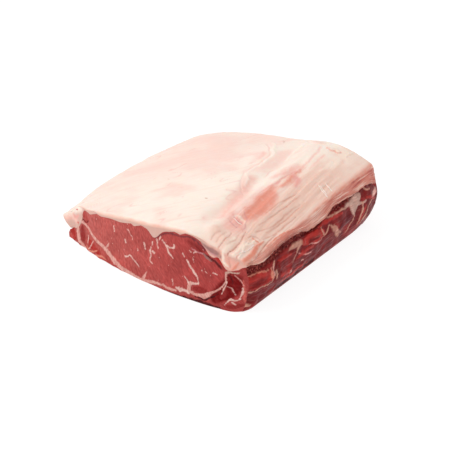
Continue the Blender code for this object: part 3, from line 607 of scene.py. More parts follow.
def along_y(x, z, along):
    """How far along the joint these places are, from the near cut face to the far one."""
    across = (x - NEAR_BULGE_X) / HALF_WIDTH
    near = NEAR_Y - NEAR_BULGE * np.maximum(0.0, 1.0 - across * across) + NEAR_LEAN_BACK * z
    near += CUT_FACE_RIPPLE * cloud(x, z, 24.0, 3.1)
    far = FAR_Y - FAR_UNDERCUT * np.maximum(0.0, 1.0 - z / FAR_UNDERCUT_HEIGHT) ** 2
    far += 2 * CUT_FACE_RIPPLE * cloud(x, z, 40.0, 8.7) - FAR_TOP_SET_IN * ramp(z, *FAR_TOP_Z)
    return mix(near, far, along)


def fat_relief(x, y):
    """Height of the fat's large shapes over its smooth top."""
    valley_x = VALLEY_X + VALLEY_DRIFT * y
    valley_reach = ramp(y, *VALLEY_START_Y) * (1 - ramp(y, *VALLEY_END_Y))
    height = -VALLEY_DEPTH * bell(x, valley_x, VALLEY_WIDTH) * valley_reach
    ridge_reach = ramp(x, valley_x + VALLEY_WIDTH / 2, valley_x + 2 * VALLEY_WIDTH)
    ridge_reach *= 1 - ramp(x, *RIDGE_END_X)
    ridge_reach *= ramp(y, *RIDGE_START_Y) * (1 - ramp(y, *RIDGE_END_Y))
    height += RIDGE_HEIGHT * np.cos(2 * np.pi * (x + RIDGE_DRIFT * y) / RIDGE_PITCH) * ridge_reach
    for at_x, at_y, tall, half_width, half_length in SWELLINGS:
        height += tall * bell(x, at_x, half_width) * bell(y, at_y, half_length)
    return height + LUMP_HEIGHT * cloud(x, y, LUMP_SIZE, 1.7)


def fat_top(rib, along):
    """The upper surface of the fat."""
    x, z = between_faces(FAT_TOP_NEAR, FAT_TOP_FAR, rib, along)
    y = along_y(x, z, along)
    height = DOME_HEIGHT * np.sin(np.pi * along) + fat_relief(x, y)
    height -= rounding(along * LENGTH, NEAR_EDGE_RADIUS)
    height -= rounding((1 - along) * LENGTH, FAR_EDGE_RADIUS)
    rim_radius = mix(*RIM_EDGE_RADIUS, ramp(y, *RIM_EDGE_Y))
    height -= rounding(CHINE_RIB_WIDTH * (LAST_RIB - rib), rim_radius)
    tip = bell(rib, TIP_RIB, TIP_SPREAD) * ramp(rib, 0, 2) * (1 - ramp(y - NEAR_Y, *TIP_REACH))
    return x, z + height * past_tip(rib) - TIP_DROP * tip


def seam(rib, along):
    """The surface where fat meets lean."""
    x, z = between_faces(SEAM_NEAR, SEAM_FAR, rib, along)
    y = along_y(x, z, along)
    reach = 1 - ramp(y - NEAR_Y, 0, DIP_REACH)
    for at, half_width, depth in FAT_DIPS:
        z -= reach * depth * bell(x, at, half_width)
    z += reach * trim(x, SEAM_TRIM) * ramp(rib, TAIL_RIBS - 1, TAIL_RIBS + 1)
    edge = ramp(rib, LAST_RIB - 1, LAST_RIB)
    for at, half_length, depth in RIM_SAGS:
        z -= edge * depth * bell(y, at, half_length)
    z += edge * (1 - reach) * trim(y, RIM_TRIM)
    rag = cloud(y, y, 6.0, 4.4) + 0.5 * cloud(y, y, 2.4, 5.5)
    return x, z + edge * RIM_RAG * rag * (1 - reach)


def chine_edge(rib):
    """1 on the chine side, and 0 half a rib in from it."""
    return ramp(rib, LAST_RIB - 0.5, LAST_RIB)


def foot(rib, along):
    """The flat underside, with its rounded edges."""
    x, _ = seam(rib, along)
    x = x + CHINE_SPREAD * chine_edge(rib) - TAIL_SPREAD * (1 - ramp(rib, 0, TAIL_RIBS))
    from_tail = TAIL_RIB_WIDTH * (rib + 0.25)
    from_chine = CHINE_RIB_WIDTH * (LAST_RIB - rib)
    from_near = 1 + along * LENGTH
    edge = np.minimum(np.minimum(from_tail, from_chine), from_near)
    return x, rounding(edge, FOOT_RADIUS)


def fat_point(rib, along, up):
    """A place in the fat: up is 0 on the lean and 1 on top."""
    x0, z0 = seam(rib, along)
    x1, z1 = fat_top(rib, along)
    z1 = np.maximum(z1, z0 + mix(*LEAST_FAT, past_tip(rib)))
    x, z = mix(x0, x1, up), mix(z0, z1, up)
    y = along_y(x, z, along)
    roll = chine_edge(rib) * np.minimum(up / RIM_UP, (1 - up) / (1 - RIM_UP))
    roll *= (1 - ramp(along, *RIM_FAR_END)) * mix(RIM_NEAR_SHARE, 1.0, ramp(along, *RIM_NEAR_END))
    return x + RIM_OVERHANG * roll, y, z - RIM_DROOP * roll


def lean_point(rib, along, up):
    """A place in the lean: up is 0 at its foot and 1 under the fat."""
    x0, z0 = foot(rib, along)
    x1, z1 = seam(rib, along)
    x1 = x1 + TAIL_GAP * (1 - past_tip(rib))
    x, z = mix(x0, x1, up), mix(z0, z1 - SEAM_GAP, up)
    y = along_y(x, z, along)
    belly = np.sin(np.pi * up)
    blocks = CHINE_BLOCK_DEPTH * cloud(y / CHINE_BLOCK_LENGTH, z / CHINE_BLOCK_HEIGHT, 1.0, 6.3)
    x = x + chine_edge(rib) * belly * (CHINE_BULGE + blocks)
    from_chine = np.clip(1 - CHINE_RIB_WIDTH * (LAST_RIB - rib) / CORNER_REACH, 0, 1) ** 2
    from_near = np.clip(1 - along * LENGTH / CORNER_REACH, 0, 1) ** 2
    cut = CORNER_CUT * mix(1.0, CORNER_CUT_ABOVE, up)
    x = x - cut * from_near * chine_edge(rib)
    y = y + cut * from_chine * (1 - ramp(along, 0.0, CORNER_END))
    return x - (1 - ramp(rib, 0, 1)) * belly * TAIL_BULGE, y, z


def crowded(share):
    """How far along a row is, when the rows crowd towards both cut faces."""
    return mix(share, (1 - np.cos(np.pi * share)) / 2, ROW_CROWDING)


class Block:
    """A dense closed piece: its mesh, and where each vertex is in the cube that it was cut from."""

    def __init__(self, name, point_at, columns_per_rib, rows, layers, finer):
        cells = (sum(columns_per_rib), rows, layers)
        self.mesh = cut_cube(name, cells, finer)
        share = self.read("co", 3) + 0.5
        ends = np.concatenate([[0], np.cumsum(columns_per_rib)])
        self.rib = np.interp(share[:, 0] * cells[0], ends, np.arange(len(ends)))
        self.along, self.up = share[:, 1], share[:, 2]
        self.places = np.stack(point_at(self.rib, crowded(self.along), self.up), axis=1)

    def read(self, key, width):
        values = np.zeros(len(self.mesh.vertices) * width, np.float32)
        self.mesh.vertices.foreach_get(key, values)
        return values.reshape(-1, width).astype(float)

    def put(self):
        """Writes the places to the mesh, and keeps the direction that each vertex faces."""
        self.mesh.vertices.foreach_set("co", (self.places * MM).astype(np.float32).ravel())
        self.mesh.update()
        self.facing = self.read("normal", 3)

    def sides(self):
        """Six masks: the near face, the far face, the chine side, the flank tip, top and foot."""
        near = (self.along < ON_SIDE) * 1.0
        far = (self.along > 1 - ON_SIDE) * 1.0
        around = (1 - near) * (1 - far)
        chine = (self.rib > LAST_RIB - ON_SIDE) * around
        tail = (self.rib < ON_SIDE) * around
        top = (self.up > 1 - ON_SIDE) * around
        below = (self.up < ON_SIDE) * around * (1 - chine) * (1 - tail)
        return near, far, chine, tail, top, below

    def triangles(self):
        corners = np.zeros(len(self.mesh.polygons) * 3, np.int32)
        self.mesh.polygons.foreach_get("vertices", corners)
        return corners.reshape(-1, 3)

    def keep(self, name, kind, key, values):
        """Stores a value of each vertex for the material to read."""
        attribute = self.mesh.attributes.new(name, kind, "POINT")
        attribute.data.foreach_set(key, values.astype(np.float32).ravel())


def whole_edge(edge, cells):
    """True for an edge that is still as long as a cell of the cube."""
    step = edge.verts[0].co - edge.verts[1].co
    lengths = [abs(part) * count for part, count in zip(step, cells)]
    return abs(max(lengths) - 1) < 0.01 and abs(sum(lengths) - 1) < 0.01


def cut_cube(name, cells, finer):
    """A unit cube cut into cells, and cut finer on the sides that finer names, as often as it
    says."""
    bm = bmesh.new()
    bmesh.ops.create_cube(bm, size=1.0)
    for axis, count in enumerate(cells):
        edges = [e for e in bm.edges if abs((e.verts[0].co - e.verts[1].co)[axis]) > 1e-6]
        bmesh.ops.subdivide_edges(bm, edges=edges, cuts=count - 1, use_grid_fill=True)
    for times in sorted(set(finer.values()), reverse=True):
        bm.normal_update()
        sides = [Vector(side) for side, wanted in finer.items() if wanted == times]
        faces = [face for face in bm.faces if any(face.normal.dot(side) > 0.9 for side in sides)]
        edges = {edge for face in faces for edge in face.edges if whole_edge(edge, cells)}
        bmesh.ops.subdivide_edges(bm, edges=list(edges), cuts=times - 1, use_grid_fill=True)
    bmesh.ops.triangulate(bm, faces=bm.faces)
    mesh = bpy.data.meshes.new(name)
    bm.to_mesh(mesh)
    bm.free()
    mesh.shade_smooth()
    return mesh


def tint(colour):
    """The linear colour of one given as it looks on a screen."""
    share = np.array(colour) / 255
    return np.where(share <= 0.04045, share / 12.92, ((share + 0.055) / 1.055) ** 2.4)


def full(colour):
    """The same, with nothing let through, as a node's socket takes it."""
    return (*tint(colour), 1.0)


def line_reach(u, v, line):
    """How far inside a line of varying half width each place is, in mm; negative outside it."""
    dots = smooth_line(line, STROKE_STEPS)
    reach = np.full(len(u), -np.inf)
    for (u0, v0, w0), (u1, v1, w1) in zip(dots, dots[1:]):
        du, dv = u1 - u0, v1 - v0
        share = np.clip(((u - u0) * du + (v - v0) * dv) / max(du * du + dv * dv, 1e-9), 0, 1)
        distance = np.hypot(u - u0 - share * du, v - v0 - share * dv)
        reach = np.maximum(reach, mix(w0, w1, share) - distance)
    return reach


def cover(reach, soft):
    """How much of a stroke covers each place; soft is the width of its edge."""
    return ramp(reach, -soft / 2, soft / 2)


def wander(u, v, size, amount, seed):
    """The same places moved about a little, so that what is laid on them has uneven edges."""
    return u + amount * cloud(u, v, size, seed), v + amount * cloud(u, v, size, seed + 5.0)


class Finish:
    """What is laid on a piece before it is carved: its colour, its height in mm, and its shares
    of pale flecks, fibres and wetness."""

    def __init__(self, block, ground):
        count = len(block.places)
        self.colour = np.tile(tint(ground), (count, 1))
        self.height, self.flecks, self.fibres, self.wet = (np.zeros(count) for _ in range(4))

    def lay(self, colour, mask):
        """Blends a colour in, by a mask from 0 to 1."""
        self.colour += (tint(colour) - self.colour) * mask[:, None]

    def shade(self, amount):
        """Darkens where amount is above 0, and lightens where it is below."""
        self.colour *= np.exp(-amount)[:, None]

    def lay_strokes(self, strokes, u, v, side, rag):
        """Lays strokes where side is above 0; rag is how uneven their edges are, in mm."""
        on = np.flatnonzero(side > 0)
        u, v = u[on], v[on]
        edge = rag * (cloud(u, v, 1.9, 91.0) + 0.6 * cloud(u, v, 0.9, 92.0))
        patchy = 1 - 0.30 * ramp(cloud(u, v, 3.1, 93.0), -0.1, 0.7)
        for colour, soft, tall, line in strokes:
            mask = cover(line_reach(u, v, line) + edge, soft) * side[on]
            self.colour[on] += (tint(colour) - self.colour[on]) * (mask * patchy)[:, None]
            self.height[on] += tall * mask
            self.flecks[on] *= 1 - mask


def add_object(name, data):
    """A new object in the scene, with this data."""
    added = bpy.data.objects.new(name, data)
    bpy.context.scene.collection.objects.link(added)
    return added


def finish_block(block, finish, material, node):
    """Carves a piece by its finish, gives it its colour and hangs it on the part."""
    off_foot = ramp(block.facing[:, 2], *OFF_FOOT)
    block.places += block.facing * (finish.height * off_foot)[:, None]
    block.places[:, 2] = np.maximum(block.places[:, 2], 0.0)
    block.put()
    opaque = np.ones(len(finish.colour))
    shares = np.column_stack([finish.flecks, finish.fibres, finish.wet])
    block.keep("paint", "FLOAT_COLOR", "color", np.column_stack([finish.colour, opaque]))
    block.keep("shares", "FLOAT_VECTOR", "vector", shares)
    block.mesh.materials.append(material)
    piece = add_object(block.mesh.name, block.mesh)
    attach(piece, "root")
    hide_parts(node)


def paint_cut_face(finish, block, near):
    """The near cut face: its reds, its fibre bundles, the tail's lobes and the marbling."""
    x, _, z = block.places.T
    lean_over = mix(0.32, 0.84, ramp(x, -70, 60))
    across = x + z * lean_over
    finish.lay(EYE_RIGHT, near * ramp(x + 0.3 * z, -75, 95))
    finish.lay(TAIL_RED, near * 0.8 * bell(z, 0, 9) * (1 - ramp(x, -40, 20)))
    bundles = streaks(across, z, 2.6, 5.4, 42.0)
    grains = streaks(across, z, 1.4, 2.4, 41.0)
    patches = cloud(x, z, 15.0, 47.0)
    finish.shade(near * (0.16 * bundles + 0.15 * grains + 0.20 * patches))
    finish.height += near * ramp(z, 0, 3) * (0.26 * bundles + 0.16 * grains)
    lobes = (1 - ramp(z, 1, 13)) * (1 - ramp(x, -60, 0))
    finish.height += near * lobes * (LOBE_HEIGHT + 1.6 * cloud(x, z, 7.0, 40.0))
    finish.flecks += near * (1 - ramp(x, 78, 86)) * ramp(z, 2, 8)
    finish.fibres += near
    u, v = wander(x, z, 5.0, 0.7, 11.0)
    u, v = wander(u, v, 1.8, 0.3, 12.0)
    finish.lay_strokes(NEAR_STROKES, u, v, near, 0.4)
    return across


def paint_chine(finish, block, chine):
    """The chine side: trimmed muscle blocks, pale tissue between them and the cleft, its dark red
    partly painted shade under the fat's rim.
    """
    _, y, z = block.places.T
    slant = z + 0.10 * y
    finish.lay(MAROON, chine)
    finish.lay(BRIGHT_RED, chine * 0.5 * ramp(cloud(y, z, 15.0, 48.0), 0.0, 0.6))
    u, v = wander(y, z, 8.0, 1.5, 21.0)
    u, v = wander(u, v, 2.6, 0.6, 31.0)
    finish.lay_strokes(CHINE_STROKES, u, v, chine, 0.55)
    cords = streaks(slant, y, 1.5, 11.0, 43.0)
    fine = streaks(slant, y, 0.8, 6.0, 49.0)
    finish.shade(chine * (0.20 * cords + 0.10 * fine + 0.30 * cloud(y, z, 6.5, 44.0)))
    finish.lay(TAN, chine * 0.25 * ramp(streaks(slant, y, 1.6, 16.0, 50.0), 0.42, 0.75))
    rough = 0.34 * cords + 0.7 * cloud(y, z, 7.0, 44.5)
    finish.height += chine * ramp(z, 0, 4) * rough
    on = np.flatnonzero(chine > 0)
    edge = 0.9 * cloud(y[on], z[on], 3.0, 45.0) + 0.5 * cloud(y[on], z[on], 1.4, 45.5)
    cleft = np.zeros(len(y))
    cleft[on] = cover(line_reach(y[on], z[on], CREVICE_LINE) + edge, 1.6) * chine[on]
    grains = cloud(y, z, 1.5, 46.0)
    # The cleft's dark red and darker grains: partly torn tissue, partly painted shade under the
    # fat's overhang
    finish.lay(CREVICE_RED_AND_SHADE, 0.92 * cleft)
    finish.shade(cleft * 0.4 * grains)
    finish.height += cleft * (0.8 * grains - 1.6)
    finish.fibres += chine * 0.8
    finish.wet += chine * (1 - cleft)
    return slant, cleft


def paint_hidden_lean(finish, side, u, v, seed):
    """The faces that the photo doesn't show: red, with broken veins of marbling."""
    finish.lay(EYE_RIGHT, side)
    finish.lay(MAROON, side * 0.6 * ramp(cloud(u, v, 26.0, seed), 0.0, 0.5))
    bundles = streaks(u + 0.5 * v, v, 3.2, 12.0, seed + 1)
    finish.shade(side * 0.22 * bundles)
    finish.height += side * 0.2 * bundles
    bent_u, bent_v = wander(u, v, 7.0, 3.0, seed + 2)
    vein = bell(streaks(bent_u + 0.5 * bent_v, bent_v, 9.0, 20.0, seed + 3), 0.08, 0.028)
    vein *= ramp(cloud(u, v, 11.0, seed + 4), -0.05, 0.25)
    finish.lay(MARBLE, side * 0.85 * vein)
    finish.flecks += side
    finish.fibres += side


def lean_finish(block):
    """All that is laid on the lean, and the mask of the cleft."""
    x, y, z = block.places.T
    near, far, chine, tail, _, below = block.sides()
    finish = Finish(block, EYE_LEFT)
    paint_hidden_lean(finish, far, x, z, 61.0)
    paint_hidden_lean(finish, tail, y, z, 71.0)
    paint_hidden_lean(finish, below, x, y, 81.0)
    finish.lay(PALE_GREY, below * 0.6 * ramp(cloud(x, y, 30.0, 88.0), 0.05, 0.4))
    across = paint_cut_face(finish, block, near)
    slant, cleft = paint_chine(finish, block, chine)
    grain = np.column_stack([x * 0.6 + y * 0.4, y + z, z])
    grain = mix(grain, np.column_stack([across, z, y]), near[:, None])
    grain = mix(grain, np.column_stack([slant, 0.4 * y, x]), chine[:, None])
    block.keep("grain", "FLOAT_VECTOR", "vector", grain)
    return finish, cleft


def paint_flat_fat(finish, x, y, top):
    """The smooth middle and flank of the fat: cream, with blushes and faint slanting streaks."""
    slant, run = 0.8 * x - 0.6 * y, 0.6 * x + 0.8 * y
    middle = top * (1 - ramp(x, 35, 60))
    blotch = cloud(x, y, 36.0, 51.0) + 0.5 * cloud(x, y, 13.0, 52.0)
    finish.lay(BLUSH, middle * 0.55 * (1 - ramp(x - 0.5 * y, -75, 15)))
    finish.lay(BLUSH, middle * 0.7 * ramp(blotch, -0.15, 0.6))
    finish.lay(DEEP_BLUSH, middle * 0.30 * ramp(streaks(slant, run, 4.0, 40.0, 53.0), 0.25, 0.7))
    finish.lay(DEEP_BLUSH, middle * 0.35 * ramp(streaks(slant, run, 1.7, 22.0, 59.0), 0.42, 0.8))
    veins = bell(streaks(slant + 0.3 * run, run, 11.0, 34.0, 74.0), 0.02, 0.035)
    finish.lay(ROSE, middle * 0.45 * veins * ramp(cloud(x, y, 15.0, 75.0), 0.0, 0.4))
    finish.height += middle * 0.22 * streaks(slant, run, 5.0, 30.0, 60.0)
    return slant, run


def paint_shoulder(finish, block, x, y, top):
    """The shoulder over the chine: pale cords that run along the joint, with pink grooves; the
    cords' crests carry painted highlights and the grooves painted shade.
    """
    slant = x + 0.05 * y + 1.1 * cloud(x, y, 24.0, 62.0)
    reach = top * ramp(x - 0.06 * y, 52, 66) * ramp(y, -84, -62) * (1 - ramp(y, 30, 84))
    cords = streaks(slant, y, 2.2, 46.0, 54.0) + 0.6 * streaks(slant, y, 1.1, 26.0, 55.0)
    broken = ramp(cloud(x, y, 17.0, 63.0), -0.4, 0.4)
    grooves = ramp(-cords, 0.15, 0.7) * mix(0.25, 1.0, broken)
    finish.lay(BEIGE, top * 0.62 * ramp(x - 0.1 * y, 50, 78))
    # Painted highlight on the cords' crests and painted shade in the grooves between them
    finish.lay(SHELL_AND_HIGHLIGHT, reach * 0.8 * ramp(cords, 0.05, 0.6))
    finish.lay(GROOVE_SHADE, reach * 0.6 * grooves)
    finish.height += reach * (0.3 * ramp(cords, -0.2, 0.6) - 0.4 * grooves)
    blotches = cloud(x, y, 9.0, 64.0)
    finish.lay(BEIGE, top * 0.6 * ramp(x, 60, 80) * ramp(y, 40, 70) * ramp(blotches, -0.1, 0.6))
    finish.lay(SHELL_AND_HIGHLIGHT, top * 0.5 * ramp(x, 55, 70) * ramp(y, 30, 60) * ramp(-blotches, 0.1, 0.6))
    crest = top * ramp(block.rib, LAST_RIB - 0.34, LAST_RIB - 0.04) * ramp(y, -75, -45)
    finish.lay(ORANGE_PINK, mix(0.35, 0.6, ramp(y, -20, 60)) * crest)
    return slant, reach


def paint_rim(finish, block, chine):
    """The cut rim of the fat on the chine side: pink, in thin red layers that run along it, with
    painted highlights on its raised layers and painted shade on its lower part.
    """
    _, y, z = block.places.T
    level = 22 * (block.up + 0.10 * cloud(y, y, 24.0, 58.0) + 0.05 * cloud(y, z, 6.0, 58.5))
    layers = streaks(level, y, 1.5, 30.0, 58.0) + 0.5 * streaks(level, y, 0.9, 13.0, 59.0)
    redder = ramp(y, -50, 70)
    finish.lay(RIM_PINK, chine)
    finish.lay(CORNER_PINK, chine * 0.7 * (1 - ramp(y, -80, -30)))
    finish.lay(RIM_TAN, chine * 0.7 * ramp(1 - block.up, 0.4, 0.8))
    # Painted shade on the lower part of the rim, under the fat's overhang, between about y -70 and
    # y -8
    plain = chine * ramp(y, -80, -62) * (1 - ramp(y, -18, 2))
    finish.lay(RIM_SHADE_BROWN, plain * (1 - ramp(block.up, 0.3, 0.75)))
    finish.lay(CREVICE_RED_AND_SHADE, 0.8 * plain * (1 - ramp(block.up, 0.05, 0.35)))
    finish.lay(BEIGE, 0.5 * chine * bell(y, 8, 16) * ramp(block.up, 0.15, 0.5))
    finish.lay(RIM_RED, chine * mix(0.0, 0.85, redder) * ramp(layers, 0.0, 0.36))
    # Painted highlight on the rim's raised layers
    finish.lay(SHELL_AND_HIGHLIGHT, chine * 0.55 * ramp(-layers, 0.15, 0.5))
    finish.lay(RIM_RED, chine * 0.6 * (1 - ramp(block.up, 0.0, 0.14)))
    finish.height += chine * (0.2 - 0.6 * layers + 0.5 * cloud(y, z, 6.0, 65.0))


def paint_band(finish, block, near):
    """The near cut face of the fat, and the thin pink line along its top edge."""
    x, _, z = block.places.T
    finish.lay(CUT_FAT, near)
    u, v = wander(x, z, 5.0, 0.6, 66.0)
    finish.lay_strokes(BAND_STROKES, u, v, near, 0.3)
    edge = bell(block.along * LENGTH, 0.6, 1.4) * (block.up > 1 - ON_SIDE)
    edge *= mix(0.5, 1.0, ramp(cloud(x, x, 15.0, 67.0), -0.5, 0.5))
    finish.lay(CUT_EDGE, 0.85 * edge * (1 - ramp(x, 50, 80)))


def fat_finish(block):
    """All that is laid on the fat."""
    x, y, z = block.places.T
    near, far, chine, _, top, _ = block.sides()
    finish = Finish(block, CREAM)
    slant, run = paint_flat_fat(finish, x, y, top)
    shoulder_slant, shoulder = paint_shoulder(finish, block, x, y, top)
    u, v = wander(x, y, 14.0, 2.6, 61.0)
    u, v = wander(u, v, 4.0, 1.0, 71.0)
    finish.lay_strokes(TOP_STROKES, u, v, top, 0.6)
    u, v = wander(x, y, 9.0, 0.9, 73.0)
    finish.lay_strokes(FOLD_STROKES, u, v, top, 0.35)
    crest = top * ramp(block.rib, LAST_RIB - 0.12, LAST_RIB)
    crest *= ramp(cloud(y, y, 7.0, 68.0), -0.6, 0.3)
    finish.lay(ORANGE_PINK, 0.7 * crest)
    finish.height += top * (0.25 * cloud(x, y, 16.0, 56.0) + 0.12 * cloud(x, y, 5.0, 57.0))
    paint_rim(finish, block, chine)
    paint_band(finish, block, near)
    finish.lay(CUT_FAT, far)
    finish.lay(DEEP_BLUSH, far * 0.7 * ramp(streaks(z, x, 1.6, 20.0, 69.0), 0.1, 0.6))
    finish.height += far * 0.3 * streaks(z, x, 2.0, 18.0, 70.0)
    finish.fibres += 0.25 + 0.6 * np.maximum(shoulder, chine)
    finish.flecks += 0.5 * top
    finish.wet += 0.4 * chine
    grain = np.column_stack([slant, run, z])
    grain = mix(grain, np.column_stack([shoulder_slant, y, z]), ramp(x, 45, 60)[:, None])
    grain = mix(grain, np.column_stack([z, y, x]), chine[:, None])
    block.keep("grain", "FLOAT_VECTOR", "vector", grain)
    return finish


def feed(tree, node, inputs):
    """Gives a node its inputs, each one a value or another node's output."""
    for key, value in inputs.items():
        if isinstance(value, bpy.types.NodeSocket):
            tree.links.new(value, node.inputs[key])
        else:
            node.inputs[key].default_value = value


def add_node(tree, kind, inputs=None, **settings):
    """A new node with its settings and inputs."""
    node = tree.nodes.new(kind)
    for name, value in settings.items():
        setattr(node, name, value)
    feed(tree, node, inputs or {})
    return node


def maths(tree, way, *values, clamp=False):
    """What a Math node makes of these values and outputs."""
    given = dict(enumerate(values))
    node = add_node(tree, "ShaderNodeMath", given, operation=way, use_clamp=clamp)
    return node.outputs["Value"]


def vector_maths(tree, way, a, b):
    """What a Vector Math node makes of two vectors."""
    node = add_node(tree, "ShaderNodeVectorMath", {0: a, 1: b}, operation=way)
    return node.outputs["Vector"]


def spread(tree, value, low, high, to_low=0.0, to_high=1.0):
    """A value stretched from one range to another, and held inside it."""
    node = add_node(tree, "ShaderNodeMapRange", {
        "Value": value, "From Min": low, "From Max": high, "To Min": to_low, "To Max": to_high,
    })
    return node.outputs["Result"]


def add_noise(tree, scale, detail, place=None):
    """A noise texture, on a place or on the geometry's own position."""
    inputs = {"Scale": scale, "Detail": detail}
    if place is not None:
        inputs["Vector"] = place
    return add_node(tree, "ShaderNodeTexNoise", inputs)


def start_group(name, kind, given, results):
    """A node group with these named sockets, and its input and output nodes."""
    group = bpy.data.node_groups.new(name, kind)
    for label, socket_kind, value in given:
        socket = group.interface.new_socket(name=label, in_out="INPUT", socket_type=socket_kind)
        if value is not None:
            socket.default_value = value
    for label, socket_kind in results:
        group.interface.new_socket(name=label, in_out="OUTPUT", socket_type=socket_kind)
    return group, group.nodes.new("NodeGroupInput"), group.nodes.new("NodeGroupOutput")


def stretched(group, given):
    """The grain's coordinates, so that one unit is one streak across or along."""
    size = add_node(group, "ShaderNodeCombineXYZ", {
        "X": given.outputs["Across"], "Y": given.outputs["Along"], "Z": given.outputs["Along"],
    })
    return vector_maths(group, "DIVIDE", given.outputs["Grain"], size.outputs["Vector"])


def fibre_group():
    """Streaks of muscle or fat fibres, from 0 to 1, and the height that they give."""
    group, given, result = start_group("tissue_fibres", "ShaderNodeTree", (
        ("Grain", "NodeSocketVector", None),
        ("Across", "NodeSocketFloat", 1.0),
        ("Along", "NodeSocketFloat", 8.0),
    ), (("Streaks", "NodeSocketFloat"), ("Height", "NodeSocketFloat")))
    place = stretched(group, given)
    broad = add_noise(group, 1.0, 2.0, place).outputs["Fac"]
    fine = add_noise(group, 2.7, 4.0, place).outputs["Fac"]
    feed(group, result, {
        "Streaks": spread(group, broad, 0.34, 0.66),
        "Height": maths(group, "MULTIPLY_ADD", fine, 0.6, broad),
    })
    return group


def fleck_group():
    """Short flecks scattered along the grain, as a mask; Share is how many cells have one."""
    group, given, result = start_group("scattered_flecks", "ShaderNodeTree", (
        ("Grain", "NodeSocketVector", None),
        ("Across", "NodeSocketFloat", 3.0),
        ("Along", "NodeSocketFloat", 9.0),
        ("Share", "NodeSocketFloat", 0.4),
        ("Thickness", "NodeSocketFloat", 0.16),
    ), (("Mask", "NodeSocketFloat"),))
    place = stretched(group, given)
    cells = add_node(group, "ShaderNodeTexVoronoi", {"Vector": place, "Scale": 1.0})
    drawn = add_node(group, "ShaderNodeSeparateColor", {"Color": cells.outputs["Color"]})
    shown = maths(group, "LESS_THAN", drawn.outputs["Red"], given.outputs["Share"])
    size = maths(group, "MULTIPLY", given.outputs["Thickness"], drawn.outputs["Green"])
    core = spread(group, cells.outputs["Distance"], size, 0.0)
    mask = maths(group, "MULTIPLY", core, shown)
    feed(group, result, {"Mask": maths(group, "MULTIPLY", mask, 2.2, clamp=True)})
    return group


def blend_colour(tree, share, under, over, way="MIX"):
    """One colour over another, as strongly as share says."""
    node = add_node(tree, "ShaderNodeMix", {0: share, 6: under, 7: over},
                    data_type="RGBA", blend_type=way)
    return node.outputs[2]


def read_attribute(tree, name):
    """What a piece stores for each vertex under this name."""
    return add_node(tree, "ShaderNodeAttribute", attribute_name=name)


def bumped(tree, height, strength, depth):
    """A normal that follows a height; depth is in metres."""
    node = add_node(tree, "ShaderNodeBump", {
        "Height": height, "Strength": strength, "Distance": depth,
    })
    return node.outputs["Normal"]


def start_material(name):
    """A new material, its nodes and its shader."""
    material = bpy.data.materials.new(name)
    material.use_nodes = True
    return material, material.node_tree, material.node_tree.nodes["Principled BSDF"]


def flesh(name, groups, look):
    """Tissue with the piece's laid colours, its fibres and flecks, mottled and moist."""
    material, tree, shader = start_material(name)
    grain = read_attribute(tree, "grain").outputs["Vector"]
    shares = read_attribute(tree, "shares").outputs["Vector"]
    share = add_node(tree, "ShaderNodeSeparateXYZ", {"Vector": shares}).outputs
    fibres = add_node(tree, "ShaderNodeGroup", node_tree=groups[0])
    flecks = add_node(tree, "ShaderNodeGroup", node_tree=groups[1])
    for node, (across, along) in ((fibres, look["fibre_size"]), (flecks, look["fleck_size"])):
        feed(tree, node, {"Grain": grain, "Across": across, "Along": along})
    feed(tree, flecks, {"Share": look["fleck_share"]})
    streaked = fibres.outputs["Streaks"]
    darker = maths(tree, "MULTIPLY", streaked, share["Y"])
    darker = maths(tree, "MULTIPLY", darker, look["fibre_strength"])
    colour = read_attribute(tree, "paint").outputs["Color"]
    colour = blend_colour(tree, darker, colour, look["shadow"], "MULTIPLY")
    fleck = maths(tree, "MULTIPLY", flecks.outputs["Mask"], share["X"])
    height = maths(tree, "MULTIPLY_ADD", fleck, 0.5, fibres.outputs["Height"])
    feed(tree, shader, {
        "Base Color": blend_colour(tree, fleck, colour, look["fleck"]),
        "Roughness": spread(tree, streaked, 0.0, 1.0, *look["rough"]),
        "Specular IOR Level": look["specular"],
        "Coat Weight": maths(tree, "MULTIPLY", share["Z"], look["film"]),
        "Coat Roughness": FILM_ROUGHNESS,
        "Normal": bumped(tree, height, look["bump"], TISSUE_BUMP),
        "Subsurface Weight": look["glow"],
        "Subsurface Radius": GLOW_COLOURS,
        "Subsurface Scale": GLOW_DEPTH,
    })
    return material


def lean_flesh(groups):
    """Lean: dark between its fibres, with short pale flecks of fat."""
    return flesh("lean_flesh", groups, {
        "fibre_size": (1.3, 3.4), "fibre_strength": 0.6, "shadow": full((206, 176, 176)),
        "fleck_size": (2.6, 4.4), "fleck_share": 0.6, "fleck": full((236, 190, 178)),
        "rough": (0.32, 0.48), "film": 0.06, "bump": 0.4, "glow": 0.08, "specular": 0.08,
    })


def fat_tissue(groups):
    """Fat: softer and glowing, with long faint streaks and a few pink patches."""
    return flesh("fat_tissue", groups, {
        "fibre_size": (2.0, 16.0), "fibre_strength": 0.5, "shadow": full((250, 226, 216)),
        "fleck_size": (9.0, 16.0), "fleck_share": 0.10, "fleck": full((240, 190, 174)),
        "rough": (0.42, 0.58), "film": 0.2, "bump": 0.35, "glow": 0.2, "specular": 0.35,
    })


def mottle(tree, scale):
    """Uneven noise that stays with the piece, from about 0 to 1."""
    place = add_node(tree, "ShaderNodeTexCoord").outputs["Object"]
    return add_noise(tree, scale, 2.0, place).outputs["Fac"]


def sinew():
    """Wet white strands."""
    material, tree, shader = start_material("sinew")
    white, pink = full((255, 246, 238)), full((244, 214, 202))
    feed(tree, shader, {
        "Base Color": blend_colour(tree, mottle(tree, 420.0), white, pink),
        "Roughness": 0.3,
        "Subsurface Weight": 0.2,
        "Subsurface Scale": 0.001,
    })
    return material


